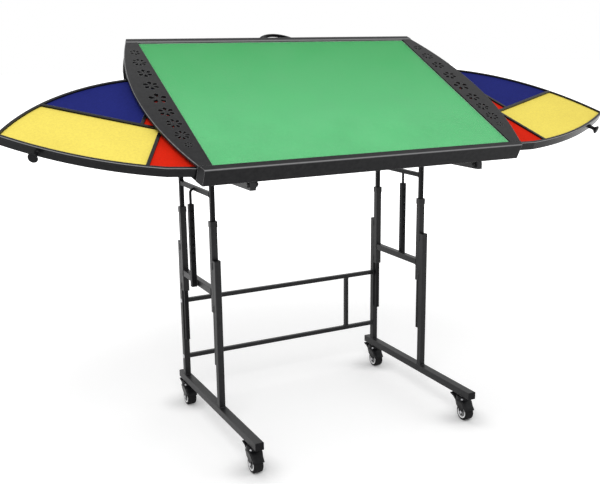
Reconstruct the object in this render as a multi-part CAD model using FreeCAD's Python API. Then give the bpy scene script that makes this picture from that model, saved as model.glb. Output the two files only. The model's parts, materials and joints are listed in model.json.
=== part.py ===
import FreeCAD, Part
import math
import os
from FreeCAD import Vector

# Jigsaw puzzle table with two swing-out sorting drawers, a tilting work board and a
# telescoping steel stand on four braked casters.  Millimetres, +Z up, the user sits at
# the -Y side.  The origin lies on the floor under the middle of the table.

# ---- steel stand ----
leg_x = 352.0               # middle plane of each leg frame, left and right of the origin
foot_length = 600.0
foot_width = 25.0
foot_height = 22.0
foot_underside = 75.0       # height of the foot tubes above the floor
post_size = 19.0            # square outer posts and the sleeve posts welded to them
post_pitch = 293.0          # front outer post to back outer post, centre to centre
front_post_y = -32.0
outer_post_top = 535.0
sleeve_bottom = 381.0
sleeve_top = 645.0
crossbar_height = 440.0     # middle of the crossbar between two sleeve posts
tube_wall = 1.5
tube_corner = 1.6           # outside corner radius of every square tube
rail_size = 13.0
lower_rail_height = 157.0
upper_rail_height = 343.0
rail_upright_x = 238.0
rail_plug_depth = 22.0      # threaded insert in each rail end
rail_bolt_radius = 3.0
rail_bolt_head = 6.5
rail_bolt_dome = 3.6
cap_thickness = 2.5
plug_depth = 10.0
plug_corner = 0.5           # corner radius of everything that fits inside a tube

# ---- height adjustment ----
lift_size = 13.0            # square lift posts that slide in the sleeve posts
lift_bottom = 220.0
lift_crossbar_rise = 77.0   # middle of the lift crossbar above the sleeve posts
guide_clearance = 0.25      # each side of a lift post in its plastic collar
collar_overhang = 1.4
collar_depth = 14.0
collar_lip = 3.0
bushing_depth = 30.0
strut_size = 16.0           # perforated height-lock tube on the outside of each leg frame
strut_bottom = 431.0
strut_rise = 30.0           # top of the perforated tube above the sleeve posts
strut_hole_radius = 3.2
strut_hole_pitch = 25.0
strut_hole_count = 8
strut_rod_radius = 4.0
strut_rod_bottom = 480.0
strut_guide_length = 20.0

# ---- tilt hinge and stays ----
bar_width = 16.0            # top bars that carry the board, one on each leg frame
bar_height = 27.0
bar_rise = 132.0            # underside of the bars above the sleeve posts
bar_back_y = 258.0
bar_plug_depth = 34.0       # solid end piece round the hinge bolt
bar_flat = 0.2              # what the rounded front end leaves of its upright face
hinge_y = -286.0
hinge_drop = 14.0           # hinge axis below the board's underside
hinge_inset = 9.0           # hinge axis behind the board's front face
tilt_angle = 27.0
hinge_bolt_radius = 4.0
hinge_nut_width = 13.0      # across flats, head and nut alike
hinge_head_height = 5.3
hinge_nut_height = 5.5
hinge_thread_end = 2.5      # thread that shows past the nut
hinge_ear = 11.0            # radius of the bracket's ear round the bolt
stay_radius = 200.0         # middle of the curved slot, from the hinge axis
stay_band = 24.0
stay_thickness = 3.0
stay_gap = 0.3              # between each stay plate and its bar
stay_flange = 18.0
stay_web_drop = 4.0         # foot of the web below the hinge axis
stay_flange_start = 14.0    # flange behind the hinge axis
stay_end_angle = 3.4        # plate beyond the end of the slot, in degrees
clamp_bolt_radius = 3.0
clamp_head_radius = 8.0
clamp_head_height = 3.2
slot_clearance = 0.2
running_clearance = 0.05
knob_top_gap = 0.3          # knob below the bar's top, so that the board can lie flat on it
knob_length = 22.0
knob_lobe_count = 6
knob_scallop = 4.6
knob_hub = 7.0
knob_hub_height = 6.0

# ---- work board, in its own flat axes: x across, y up the slope, z off the felt ----
felt_width = 916.0
felt_depth = 635.0
felt_thickness = 1.0
rail_thickness = 23.0       # front and back rails of the board
rail_rise = 6.5             # rail top above the felt
rail_round = 5.0
board_depth = 40.7          # felt surface to the underside of the board
work_panel_thickness = 5.0
bottom_panel_thickness = 6.0
side_panel_rise = 5.0       # side panel top above the felt
side_panel_lap = 12.0       # side panels rest on the work panel's margin
side_arc_radius = 907.0
side_width = 94.0           # widest part of each curved side, beyond the felt
edge_round = 2.0
ridge_width = 4.0           # bevel from the rail's top down to the felt
ridge_depth = 3.0
spine_width = 16.0
corner_rib_width = 14.0
corner_rib_inset = 4.0
corner_rib_length = 24.0

# ---- swing-out drawers ----
pivot_margin = 8.0          # pivot outside the felt's edge
pivot_y = 30.0
back_wall_radius = 600.0    # curved back wall of each tray
back_wall_reach = 139.0     # its centre outside the pivot, and in front of it
back_wall_front = 105.0
drawer_inset = 4.0          # outer wall inside the board's curved edge
apex_radius = 26.0
apex_blend_y = 110.0        # where the outer wall leaves the board's curve for the apex
tray_corner = 14.0          # plan radius of each tray's two sharp corners
drawer_top_gap = 1.5
drawer_bottom_gap = 1.2
drawer_wall = 8.0
drawer_floor = 4.5
drawer_felt = 1.5
drawer_recess = 5.0         # rim to felt
bead_size = 1.2             # moulded bead round the outer face
bead_drop = 7.0
rim_round = 2.5
rib_outer_y = 158.0         # rib across the closed tray, in its outer part
rib_inner_y = 208.0         # and in its inner part
rib_along_inset = 116.0     # rib from front to back, inside the pivot
pivot_radius = 5.0
pivot_boss_radius = 14.0
left_open_angle = 62.0      # both drawers stand open at rest
right_open_angle = 70.5
pull_y = 415.0              # pull knob on the closed tray's outer wall
pull_radius = 13.0
pull_rim = 1.5              # rolled edge of the knob's disc
pull_neck = 5.5
pull_foot = 2.5
pull_length = 28.0
soft_gap = 0.3

# ---- cover and carrying handle ----
cover_thickness = 2.0
cover_clearance = 1.5
cover_corner = 6.0
handle_span = 124.0
handle_reach = 34.0
handle_width = 9.0
handle_thickness = 4.0
handle_foot = 2.6           # strap at its feet, as a share of its thickness
handle_tab = 16.0

# ---- casters ----
caster_inset = 42.0         # stem centre from the end of its foot tube
wheel_radius = 25.0
wheel_width = 25.0
tyre_thickness = 6.5
tyre_round = 5.0
hub_dish = 7.0              # depth of the dished web below the wheel's side faces
caster_trail = 14.0         # every wheel stands this far in front of its stem
axle_radius = 3.0
cheek_thickness = 2.0
cheek_gap = 1.0             # between wheel and cheek
cheek_top = 22.0            # full width of each cheek starts this far above the axle
cheek_back = 4.0            # the wheel's room runs up to the head behind this line
head_radius = 19.0
head_thickness = 10.0
head_plate = 3.0
stem_radius = 5.0
stem_collar = 3.0
stem_collar_radius = 10.0
rivet_radius = 8.0
rivet_height = 3.0
hood_gap = 2.5              # between tyre and the hood in front of it
hood_thickness = 2.0
pedal_pin_radius = 2.0
pedal_pin_back = 26.0       # brake pedal pin, behind and above the axle
pedal_pin_up = 29.0
pedal_reach = 36.0          # pedal tip behind its pin
pedal_rise = 14.0
pedal_side_gap = 1.5

# ---- flower cut-outs of the side panels, from back to front ----
flower_shares = [0.904, 0.813, 0.715, 0.608, 0.502, 0.394, 0.304, 0.217, 0.146]
flower_radii = [14.5, 20.0, 21.0, 22.0, 25.5, 22.0, 21.0, 20.5, 12.0]
petal_counts = [6, 8, 6, 6, 5, 6, 7, 8, 7]
petal_fullness = 0.8        # petal width as a share of the room round the flower
petal_roundness = 0.7       # and as a share of its own length, at most
flower_core = 0.24          # solid middle as a share of the flower's radius
flower_inset = 21.0         # first and last flowers, from the felt's edge
flower_swell = 15.5         # how far the middle flowers move out with the curved side

# ---- values that follow from the ones above ----
foot_top = foot_underside + foot_height
back_post_y = front_post_y + post_pitch
sleeve_front_y = front_post_y + post_size
sleeve_back_y = back_post_y - post_size
frame_middle_y = (front_post_y + back_post_y) / 2
strut_x = leg_x + post_size / 2 + strut_size / 2
strut_top = sleeve_top + strut_rise
lift_crossbar_height = sleeve_top + lift_crossbar_rise
bar_bottom = sleeve_top + bar_rise
bar_top = bar_bottom + bar_height
hinge_z = bar_bottom + bar_height / 2
bar_front_y = hinge_y - bar_height / 2
stay_inner_x = leg_x - bar_width / 2 - stay_gap - stay_thickness
knob_radius = bar_height / 2 - knob_top_gap
half_felt = felt_width / 2
side_peak_x = half_felt + side_width
pivot_x = half_felt + pivot_margin
rib_along_x = pivot_x - rib_along_inset
board_front = -rail_thickness
board_back = felt_depth + rail_thickness
side_arc_x = side_peak_x - side_arc_radius
panel_top = -felt_thickness
cavity_top = panel_top - work_panel_thickness
cavity_bottom = -board_depth + bottom_panel_thickness
hinge_on_board_y = board_front + hinge_inset
hinge_on_board_z = -board_depth - hinge_drop
tray_top = cavity_top - drawer_top_gap
tray_bottom = cavity_bottom + drawer_bottom_gap
tray_arc_radius = side_arc_radius - drawer_inset
felt_level = tray_top - drawer_recess
floor_level = felt_level - drawer_felt
axle_height = wheel_radius
head_top = foot_underside - stem_collar


def box(x0, x1, y0, y1, z0, z1):
    return Part.makeBox(x1 - x0, y1 - y0, z1 - z0, Vector(x0, y0, z0))


def cylinder(radius, start, end):
    """A round bar from one point to another."""
    axis = end.sub(start)
    return Part.makeCylinder(radius, axis.Length, start, axis)


def rounded_rectangle(width, height, radius):
    """A wire about the origin in the XY plane."""
    x, y = width / 2, height / 2
    if radius <= 0:
        corners = [Vector(-x, -y, 0), Vector(x, -y, 0), Vector(x, y, 0), Vector(-x, y, 0)]
        return Part.makePolygon(corners + corners[:1])
    edges = []
    centres = [(x, y, 0), (-x, y, 90), (-x, -y, 180), (x, -y, 270)]
    ends = []
    for cx, cy, start in centres:
        centre = Vector(math.copysign(abs(cx) - radius, cx), math.copysign(abs(cy) - radius, cy), 0)
        points = [
            centre.add(Vector(math.cos(a) * radius, math.sin(a) * radius, 0))
            for a in (math.radians(start), math.radians(start + 45), math.radians(start + 90))
        ]
        edges.append(Part.Arc(*points).toShape())
        ends.append((points[0], points[2]))
    for index in range(4):
        start, end = ends[index][1], ends[(index + 1) % 4][0]
        if start.distanceToPoint(end) > 1e-6:
            edges.append(Part.LineSegment(start, end).toShape())
    return Part.Wire(Part.__sortEdges__(edges))


def prism(wire, height):
    return Part.Face(wire).extrude(Vector(0, 0, height))


def turn_to(shape, direction):
    """Turn a shape built up +Z so that it runs along X or Y."""
    turned = shape.copy()
    if direction == "x":
        turned.rotate(Vector(0, 0, 0), Vector(0, 1, 0), 90)
    if direction == "y":
        turned.rotate(Vector(0, 0, 0), Vector(1, 0, 0), -90)
    return turned


def square_tube(start, length, direction, width, height=None, wall=tube_wall):
    """A hollow tube of rounded rectangular section; start is the middle of its first end."""
    height = height or width
    tube = prism(rounded_rectangle(width, height, tube_corner), length)
    inner = prism(
        rounded_rectangle(width - 2 * wall, height - 2 * wall, max(tube_corner - wall, 0)), length
    )
    tube = turn_to(tube.cut(inner), direction)
    tube.translate(start)
    return tube


def square_block(start, length, direction, width, height=None, radius=tube_corner):
    block = turn_to(prism(rounded_rectangle(width, height or width, radius), length), direction)
    block.translate(start)
    return block


def mirrored(shape):
    return shape.mirror(Vector(0, 0, 0), Vector(1, 0, 0))


def both_sides(shape):
    return [shape, mirrored(shape)]


def on_board(shape, angle=tilt_angle):
    """Place a shape drawn in the board's flat axes on the tilted board."""
    placed = shape.copy()
    placed.translate(Vector(0, -hinge_on_board_y, -hinge_on_board_z))
    placed.rotate(Vector(0, 0, 0), Vector(1, 0, 0), angle)
    placed.translate(Vector(0, hinge_y, hinge_z))
    return placed


def export(name, shapes):
    """Write one node; a list of shapes stays a group of separate solids."""
    shapes = shapes if isinstance(shapes, list) else [shapes]
    solids = [solid for shape in shapes for solid in shape.Solids]
    result = solids[0] if len(solids) == 1 else Part.makeCompound(solids)
    result.exportStep(os.path.join("parts", name + ".step"))
    print(name, len(solids), "solid" if len(solids) == 1 else "solids")


# ---------------------------------------------------------------- steel stand


def foot_tube():
    tube = square_tube(Vector(leg_x, -foot_length / 2, foot_underside + foot_height / 2),
                       foot_length, "y", foot_width, foot_height)
    for y in caster_places():
        hole = cylinder(stem_radius + running_clearance, Vector(leg_x, y, foot_underside - 1),
                        Vector(leg_x, y, foot_underside + tube_wall + 1))
        tube = tube.cut(hole)
    return tube


def end_caps():
    """Plugs with a flat head: in both ends of the foot tubes and on the outer posts."""
    caps = []
    inner_w = foot_width - 2 * tube_wall
    inner_h = foot_height - 2 * tube_wall
    middle = foot_underside + foot_height / 2
    for side in (-1, 1):
        end = side * foot_length / 2
        head = square_block(Vector(leg_x, min(end, end + side * cap_thickness), middle),
                            cap_thickness, "y", foot_width, foot_height)
        plug = square_block(Vector(leg_x, min(end, end - side * plug_depth), middle),
                            plug_depth, "y", inner_w, inner_h, plug_corner)
        caps.append(head.fuse(plug).removeSplitter())
    for y in (front_post_y, back_post_y):
        head = square_block(Vector(leg_x, y, outer_post_top), cap_thickness, "z", post_size)
        plug = square_block(Vector(leg_x, y, outer_post_top - plug_depth), plug_depth, "z",
                            post_size - 2 * tube_wall, None, plug_corner)
        caps.append(head.fuse(plug).removeSplitter())
    return caps


def outer_post(y):
    post = square_tube(Vector(leg_x, y, foot_top), outer_post_top - foot_top, "z", post_size)
    if y == back_post_y:
        for height in (lower_rail_height, upper_rail_height):
            post = post.cut(cylinder(rail_bolt_radius + running_clearance,
                                     Vector(leg_x - post_size, y, height),
                                     Vector(leg_x + post_size, y, height)))
    return post


def sleeve_post(y):
    return square_tube(Vector(leg_x, y, sleeve_bottom), sleeve_top - sleeve_bottom, "z", post_size)


def sleeve_crossbar():
    start = sleeve_front_y + post_size / 2
    return square_tube(Vector(leg_x, start, crossbar_height), sleeve_back_y - post_size / 2 - start,
                       "y", post_size)


def sleeve_collar(y):
    """Plastic collar over a sleeve's top, with a bushing that guides the lift post."""
    outer = post_size + 2 * collar_overhang
    collar = square_block(Vector(leg_x, y, sleeve_top - collar_depth), collar_depth + collar_lip,
                          "z", outer, None, tube_corner + collar_overhang)
    collar = collar.cut(square_block(Vector(leg_x, y, sleeve_top - collar_depth - 1),
                                     collar_depth + 1, "z", post_size))
    bushing = square_block(Vector(leg_x, y, sleeve_top - bushing_depth), bushing_depth, "z",
                           post_size - 2 * tube_wall, None, plug_corner)
    bore = square_block(Vector(leg_x, y, sleeve_top - bushing_depth - 1),
                        bushing_depth + collar_lip + 2, "z", lift_size + 2 * guide_clearance,
                        None, tube_corner)
    return collar.fuse(bushing).cut(bore).removeSplitter()


def stretcher_rail(height):
    """A rail between the back posts, with a threaded insert in each end."""
    reach = leg_x - post_size / 2
    rail = square_tube(Vector(-reach, back_post_y, height), 2 * reach, "x", rail_size)
    for side in (-1, 1):
        end = side * reach
        insert = square_block(Vector(min(end, end - side * rail_plug_depth), back_post_y, height),
                              rail_plug_depth, "x", rail_size - 2 * tube_wall, None,
                              plug_corner)
        rail = rail.fuse(insert)
        rail = rail.cut(cylinder(rail_bolt_radius + running_clearance,
                                 Vector(end + side, back_post_y, height),
                                 Vector(end - side * (rail_plug_depth + 1), back_post_y, height)))
    return rail.removeSplitter()


def rail_upright():
    start = lower_rail_height + rail_size / 2
    return square_tube(Vector(rail_upright_x, back_post_y, start),
                       upper_rail_height - rail_size / 2 - start, "z", rail_size)


def dome_bolt(radius, head_radius, head_height, length):
    """A bolt along -Z from a domed head that sits on z = 0."""
    sphere_radius = (head_radius ** 2 + head_height ** 2) / (2 * head_height)
    dome = Part.makeSphere(sphere_radius, Vector(0, 0, head_height - sphere_radius))
    dome = dome.common(box(-head_radius, head_radius, -head_radius, head_radius, 0, head_height))
    return dome.fuse(cylinder(radius, Vector(0, 0, -length), Vector(0, 0, 0))).removeSplitter()


def rail_bolts():
    bolts = []
    for height in (lower_rail_height, upper_rail_height):
        bolt = dome_bolt(rail_bolt_radius, rail_bolt_head, rail_bolt_dome, post_size + rail_plug_depth - 4)
        bolt = turn_to(bolt, "x")
        bolt.translate(Vector(leg_x + post_size / 2, back_post_y, height))
        bolts += both_sides(bolt)
    return bolts


# ---------------------------------------------------------------- height lock


def strut_tube():
    """Perforated tube welded to the sleeve crossbar, with a plastic guide cap on top."""
    tube = square_tube(Vector(strut_x, frame_middle_y, strut_bottom), strut_top - strut_bottom, "z",
                       strut_size)
    foot = square_block(Vector(strut_x, frame_middle_y, strut_bottom - cap_thickness),
                        cap_thickness + plug_depth, "z", strut_size - 2 * tube_wall, None,
                        plug_corner)
    foot = foot.fuse(square_block(Vector(strut_x, frame_middle_y, strut_bottom - cap_thickness),
                                  cap_thickness, "z", strut_size))
    cap = square_block(Vector(strut_x, frame_middle_y, strut_top), cap_thickness, "z", strut_size)
    cap = cap.cut(cylinder(strut_rod_radius + guide_clearance,
                           Vector(strut_x, frame_middle_y, strut_top - 1),
                           Vector(strut_x, frame_middle_y, strut_top + cap_thickness + 1)))
    tube = tube.fuse([foot, cap]).removeSplitter()
    for index in range(strut_hole_count):
        height = strut_top - strut_hole_pitch * (index + 0.7)
        tube = tube.cut(cylinder(strut_hole_radius, Vector(strut_x, frame_middle_y, height),
                                 Vector(strut_x + strut_size, frame_middle_y, height)))
        tube = tube.cut(cylinder(strut_hole_radius,
                                 Vector(strut_x, frame_middle_y - strut_size, height),
                                 Vector(strut_x, frame_middle_y, height)))
    return tube


def strut_rod():
    """Round rod that runs in the perforated tube and hooks over to the lift crossbar."""
    face_x = leg_x + lift_size / 2
    bend = strut_x - face_x
    corner = Vector(strut_x, frame_middle_y, lift_crossbar_height - bend)
    start = Vector(strut_x, frame_middle_y, strut_rod_bottom)
    middle = Vector(face_x + bend * math.cos(math.pi / 4), frame_middle_y,
                    corner.z + bend * math.sin(math.pi / 4))
    end = Vector(face_x, frame_middle_y, lift_crossbar_height)
    path = Part.Wire([Part.LineSegment(start, corner).toShape(),
                      Part.Arc(corner, middle, end).toShape()])
    section = Part.Wire(Part.Circle(start, Vector(0, 0, 1), strut_rod_radius).toShape())
    rod = path.makePipeShell([section], True, False)
    guide = square_block(Vector(strut_x, frame_middle_y, strut_rod_bottom), strut_guide_length, "z",
                         strut_size - 2 * tube_wall - 2 * guide_clearance, None, plug_corner)
    return rod.fuse(guide).removeSplitter()


def lift_post(y):
    return square_tube(Vector(leg_x, y, lift_bottom), bar_bottom - lift_bottom, "z", lift_size)


def lift_crossbar():
    start = sleeve_front_y + lift_size / 2
    return square_tube(Vector(leg_x, start, lift_crossbar_height),
                       sleeve_back_y - lift_size / 2 - start, "y", lift_size)


# ---------------------------------------------------------------- tilt hinge


def top_bar():
    """Bar on the lift posts; its rounded front end carries the hinge bolt."""
    bar = box(leg_x - bar_width / 2, leg_x + bar_width / 2, bar_front_y, bar_back_y,
              bar_bottom, bar_top)
    corner = [edge for edge in bar.Edges
              if abs(edge.CenterOfMass.y - bar_front_y) < 0.01
              and abs(edge.CenterOfMass.z - bar_top) < 0.01]
    bar = bar.makeFillet(bar_height / 2 - bar_flat, corner)
    hollow = box(leg_x - bar_width / 2 + tube_wall, leg_x + bar_width / 2 - tube_wall,
                 bar_front_y + bar_plug_depth, bar_back_y - cap_thickness,
                 bar_bottom + tube_wall, bar_top - tube_wall)
    bar = bar.cut(hollow)
    for y, radius in ((hinge_y, hinge_bolt_radius), (hinge_y + stay_radius, clamp_bolt_radius)):
        bar = bar.cut(cylinder(radius + running_clearance, Vector(leg_x - bar_width, y, hinge_z),
                               Vector(leg_x + bar_width, y, hinge_z)))
    return bar


def hexagon(across, height):
    points = [Vector(math.cos(math.radians(a)), math.sin(math.radians(a)), 0)
              .multiply(across / math.sqrt(3)) for a in range(30, 391, 60)]
    return prism(Part.makePolygon(points), height)


def hinge_bolt():
    """Hexagon bolt through bar and stay plate, with its lock nut on the inside."""
    outer = leg_x + bar_width / 2
    inner = stay_inner_x - running_clearance
    head = turn_to(hexagon(hinge_nut_width, hinge_head_height), "x")
    head.translate(Vector(outer, hinge_y, hinge_z))
    nut = turn_to(hexagon(hinge_nut_width, hinge_nut_height), "x")
    nut.translate(Vector(inner - hinge_nut_height, hinge_y, hinge_z))
    thread_end = inner - hinge_nut_height - hinge_thread_end
    shank = cylinder(hinge_bolt_radius, Vector(thread_end, hinge_y, hinge_z),
                     Vector(outer + 1, hinge_y, hinge_z))
    return shank.fuse([head, nut]).removeSplitter()


def clamp_bolt():
    """Carriage bolt: its head lies on the stay plate and its thread takes the knob."""
    inner = stay_inner_x - stay_gap
    bolt = dome_bolt(clamp_bolt_radius, clamp_head_radius, clamp_head_height, 1.0)
    bolt.rotate(Vector(0, 0, 0), Vector(0, 1, 0), -90)
    bolt.translate(Vector(inner, hinge_y + stay_radius, hinge_z))
    shank = cylinder(clamp_bolt_radius, Vector(inner, hinge_y + stay_radius, hinge_z),
                     Vector(leg_x + bar_width / 2 + knob_length - 5, hinge_y + stay_radius, hinge_z))
    return bolt.fuse(shank).removeSplitter()


def clamp_knob():
    """Lobed hand knob on the clamp bolt, outside the bar."""
    body = cylinder(knob_radius, Vector(0, 0, knob_hub_height), Vector(0, 0, knob_length))
    reach = knob_radius + knob_scallop / 2
    for index in range(knob_lobe_count):
        angle = 2 * math.pi * index / knob_lobe_count
        scallop = cylinder(knob_scallop, Vector(reach * math.cos(angle), reach * math.sin(angle), 0),
                           Vector(reach * math.cos(angle), reach * math.sin(angle), knob_length + 1))
        body = body.cut(scallop)
    body = body.fuse(cylinder(knob_hub, Vector(0, 0, 0), Vector(0, 0, knob_hub_height + 2)))
    body = body.removeSplitter()
    body = body.cut(cylinder(clamp_bolt_radius + running_clearance, Vector(0, 0, -1),
                             Vector(0, 0, knob_length - 4)))
    body = turn_to(body, "x")
    body.translate(Vector(leg_x + bar_width / 2 + stay_gap, hinge_y + stay_radius, hinge_z))
    return body


def stay_point(radius, angle):
    return Vector(0, hinge_on_board_y + radius * math.cos(math.radians(angle)),
                  hinge_on_board_z + radius * math.sin(math.radians(angle)))


def band_face(radius, width, start, end):
    """A curved band about the hinge axis, from one angle to another, in the YZ plane."""
    low, high = radius - width / 2, radius + width / 2
    middle = (start + end) / 2
    edges = [
        Part.Arc(stay_point(high, start), stay_point(high, middle), stay_point(high, end)).toShape(),
        Part.LineSegment(stay_point(high, end), stay_point(low, end)).toShape(),
        Part.Arc(stay_point(low, end), stay_point(low, middle), stay_point(low, start)).toShape(),
        Part.LineSegment(stay_point(low, start), stay_point(high, start)).toShape(),
    ]
    return Part.Face(Part.Wire(edges))


def tilt_bracket():
    """Hinge ear and quadrant stay in one plate, with a flange under the board."""
    thick = Vector(stay_thickness, 0, 0)
    underside = -board_depth
    end_y = hinge_on_board_y + stay_radius + stay_band / 2
    web = box(0, stay_thickness, hinge_on_board_y - hinge_ear, end_y,
              hinge_on_board_z - stay_web_drop, underside)
    ear = Part.makeCylinder(hinge_ear, stay_thickness, stay_point(0, 0), Vector(1, 0, 0))
    top_angle = math.degrees(math.asin(hinge_drop / (stay_radius + stay_band / 2)))
    end_angle = -tilt_angle - stay_end_angle
    band = band_face(stay_radius, stay_band, end_angle, top_angle).extrude(thick)
    plate = web.fuse([ear, band])
    slot_width = 2 * (clamp_bolt_radius + slot_clearance)
    slot = band_face(stay_radius, slot_width, -tilt_angle, 0).extrude(thick)
    plate = plate.cut(slot)
    for angle in (-tilt_angle, 0):
        plate = plate.cut(Part.makeCylinder(slot_width / 2, stay_thickness,
                                            stay_point(stay_radius, angle), Vector(1, 0, 0)))
    plate = plate.cut(Part.makeCylinder(hinge_bolt_radius + running_clearance, stay_thickness,
                                        stay_point(0, 0), Vector(1, 0, 0)))
    flange = box(-stay_flange, 0, hinge_on_board_y + stay_flange_start, end_y,
                 underside - stay_thickness,
                 underside)
    bracket = plate.fuse(flange).removeSplitter()
    bracket.translate(Vector(stay_inner_x, 0, 0))
    return on_board(bracket)


# ---------------------------------------------------------------- work board


def arc_x(y, radius=side_arc_radius):
    """Half width of the curved outline at one distance up the slope."""
    return side_arc_x + math.sqrt(radius ** 2 - (y - felt_depth / 2) ** 2)


def board_outline(z0, z1):
    """Everything between the two curved sides, as a tall block."""
    blank = Part.makeCylinder(side_arc_radius, z1 - z0, Vector(side_arc_x, felt_depth / 2, z0))
    blank = blank.common(mirrored(blank))
    return blank.common(box(-side_peak_x, side_peak_x, board_front, board_back, z0, z1))


def rail_profile():
    """Section of the front rail: flat outside, rounded ridge, bevel towards the felt."""
    y0, y1 = board_front, 0.0
    z0, z1 = -board_depth, rail_rise
    turn = rail_round * (1 - math.cos(math.pi / 4))
    start = Vector(0, y0, z1 - rail_round)
    end = Vector(0, y0 + rail_round, z1)
    bevel_top = Vector(0, y1 - ridge_width, z1)
    bevel_foot = Vector(0, y1, z1 - ridge_depth)
    edges = [
        Part.LineSegment(Vector(0, y1, z0), Vector(0, y0, z0)).toShape(),
        Part.LineSegment(Vector(0, y0, z0), start).toShape(),
        Part.Arc(start, Vector(0, y0 + turn, z1 - turn), end).toShape(),
        Part.LineSegment(end, bevel_top).toShape(),
        Part.LineSegment(bevel_top, bevel_foot).toShape(),
        Part.LineSegment(bevel_foot, Vector(0, y1, z0)).toShape(),
    ]
    return Part.Face(Part.Wire(edges))


def front_rail():
    rail = rail_profile().extrude(Vector(2 * side_peak_x, 0, 0))
    rail.translate(Vector(-side_peak_x, 0, 0))
    return rail.common(board_outline(-board_depth - 1, rail_rise + 1))


def back_rail():
    rail = front_rail().mirror(Vector(0, felt_depth / 2, 0), Vector(0, 1, 0))
    return rail


def panel_blank(z0, z1, rounded):
    """A sheet with the curved outline between the rails; its curved edges are rounded."""
    blank = board_outline(z0, z1).common(box(-side_peak_x, side_peak_x, 0, felt_depth, z0, z1))
    edges = []
    for edge in blank.Edges:
        if edge.Curve.TypeId == "Part::GeomCircle" and abs(edge.CenterOfMass.z - rounded) < 0.01:
            edges.append(edge)
    return blank.makeFillet(edge_round, edges)


def bottom_panel():
    return panel_blank(-board_depth, cavity_bottom, -board_depth)


def work_panel():
    reach = half_felt + side_panel_lap
    return box(-reach, reach, 0, felt_depth, cavity_top, panel_top)


def petal(length, width):
    """A drop-shaped petal along +X, pointed inside and round outside, as a tall cutter."""
    half = width / 2
    centre = length - half
    touch = math.acos(half / centre)
    low = Vector(centre - half * math.cos(touch), -half * math.sin(touch), 0)
    high = Vector(low.x, -low.y, 0)
    root = Vector(0, 0, 0)
    edges = [Part.LineSegment(root, low).toShape(),
             Part.Arc(low, Vector(length, 0, 0), high).toShape(),
             Part.LineSegment(high, root).toShape()]
    return prism(Part.Wire(edges), board_depth)


def flower_cutters():
    """All petals of one side panel, for the right side of the board."""
    cutters = []
    for share, radius, petal_count in zip(flower_shares, flower_radii, petal_counts):
        swell = math.sin(math.pi * share)
        centre = Vector(half_felt + flower_inset + flower_swell * swell, share * felt_depth,
                        -board_depth / 2)
        core = radius * flower_core
        length = radius - core
        room = 2 * math.pi * (radius + core) / 2 / petal_count
        width = min(room * petal_fullness, length * petal_roundness)
        for index in range(petal_count):
            cutter = petal(length, width)
            cutter.translate(Vector(core, 0, 0))
            cutter.rotate(Vector(0, 0, 0), Vector(0, 0, 1), 90 + 360 * index / petal_count)
            cutter.translate(centre)
            cutters.append(cutter)
    return cutters


def side_panel():
    blank = panel_blank(panel_top, side_panel_rise, side_panel_rise)
    panel = blank.common(box(half_felt, side_peak_x, 0, felt_depth, panel_top, side_panel_rise))
    return panel.cut(flower_cutters())


def inner_ribs():
    """Centre spine between the drawers and a short curved post at each back corner."""
    spine = box(-spine_width / 2, spine_width / 2, 0, felt_depth, cavity_bottom, cavity_top)
    outer = side_arc_radius - corner_rib_inset
    ring = Part.makeCylinder(outer, panel_top - cavity_bottom,
                             Vector(side_arc_x, felt_depth / 2, cavity_bottom))
    ring = ring.cut(Part.makeCylinder(outer - corner_rib_width, panel_top - cavity_bottom,
                                      Vector(side_arc_x, felt_depth / 2, cavity_bottom)))
    rib = ring.common(box(half_felt + side_panel_lap, side_peak_x, felt_depth - corner_rib_length,
                          felt_depth, cavity_bottom, panel_top))
    return [spine] + both_sides(rib)


def carry_handle():
    """Strap handle arched over the outside of the back rail, level with the felt."""
    half = handle_span / 2
    reach = handle_reach
    outer = Part.Wire([
        Part.Arc(Vector(-half, 0, 0), Vector(0, reach, 0), Vector(half, 0, 0)).toShape(),
        Part.LineSegment(Vector(half, 0, 0), Vector(-half, 0, 0)).toShape()])
    inner_half = half - handle_foot * handle_thickness
    inner = Part.Wire([
        Part.Arc(Vector(-inner_half, 0, 0), Vector(0, reach - handle_thickness, 0),
                 Vector(inner_half, 0, 0)).toShape(),
        Part.LineSegment(Vector(inner_half, 0, 0), Vector(-inner_half, 0, 0)).toShape()])
    strap = prism(outer, handle_width).cut(prism(inner, handle_width))
    tab = box(half - handle_thickness, half + handle_tab, 0, handle_thickness, 0, handle_width)
    strap = strap.fuse(both_sides(tab)).removeSplitter()
    strap.translate(Vector(0, board_back, -handle_width))
    return on_board(strap)


def cover_sheet():
    sheet = prism(rounded_rectangle(felt_width - 2 * cover_clearance,
                                    felt_depth - 2 * cover_clearance, cover_corner),
                  cover_thickness)
    sheet.translate(Vector(0, felt_depth / 2, 0))
    return on_board(sheet)


# ---------------------------------------------------------------- drawers


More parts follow.
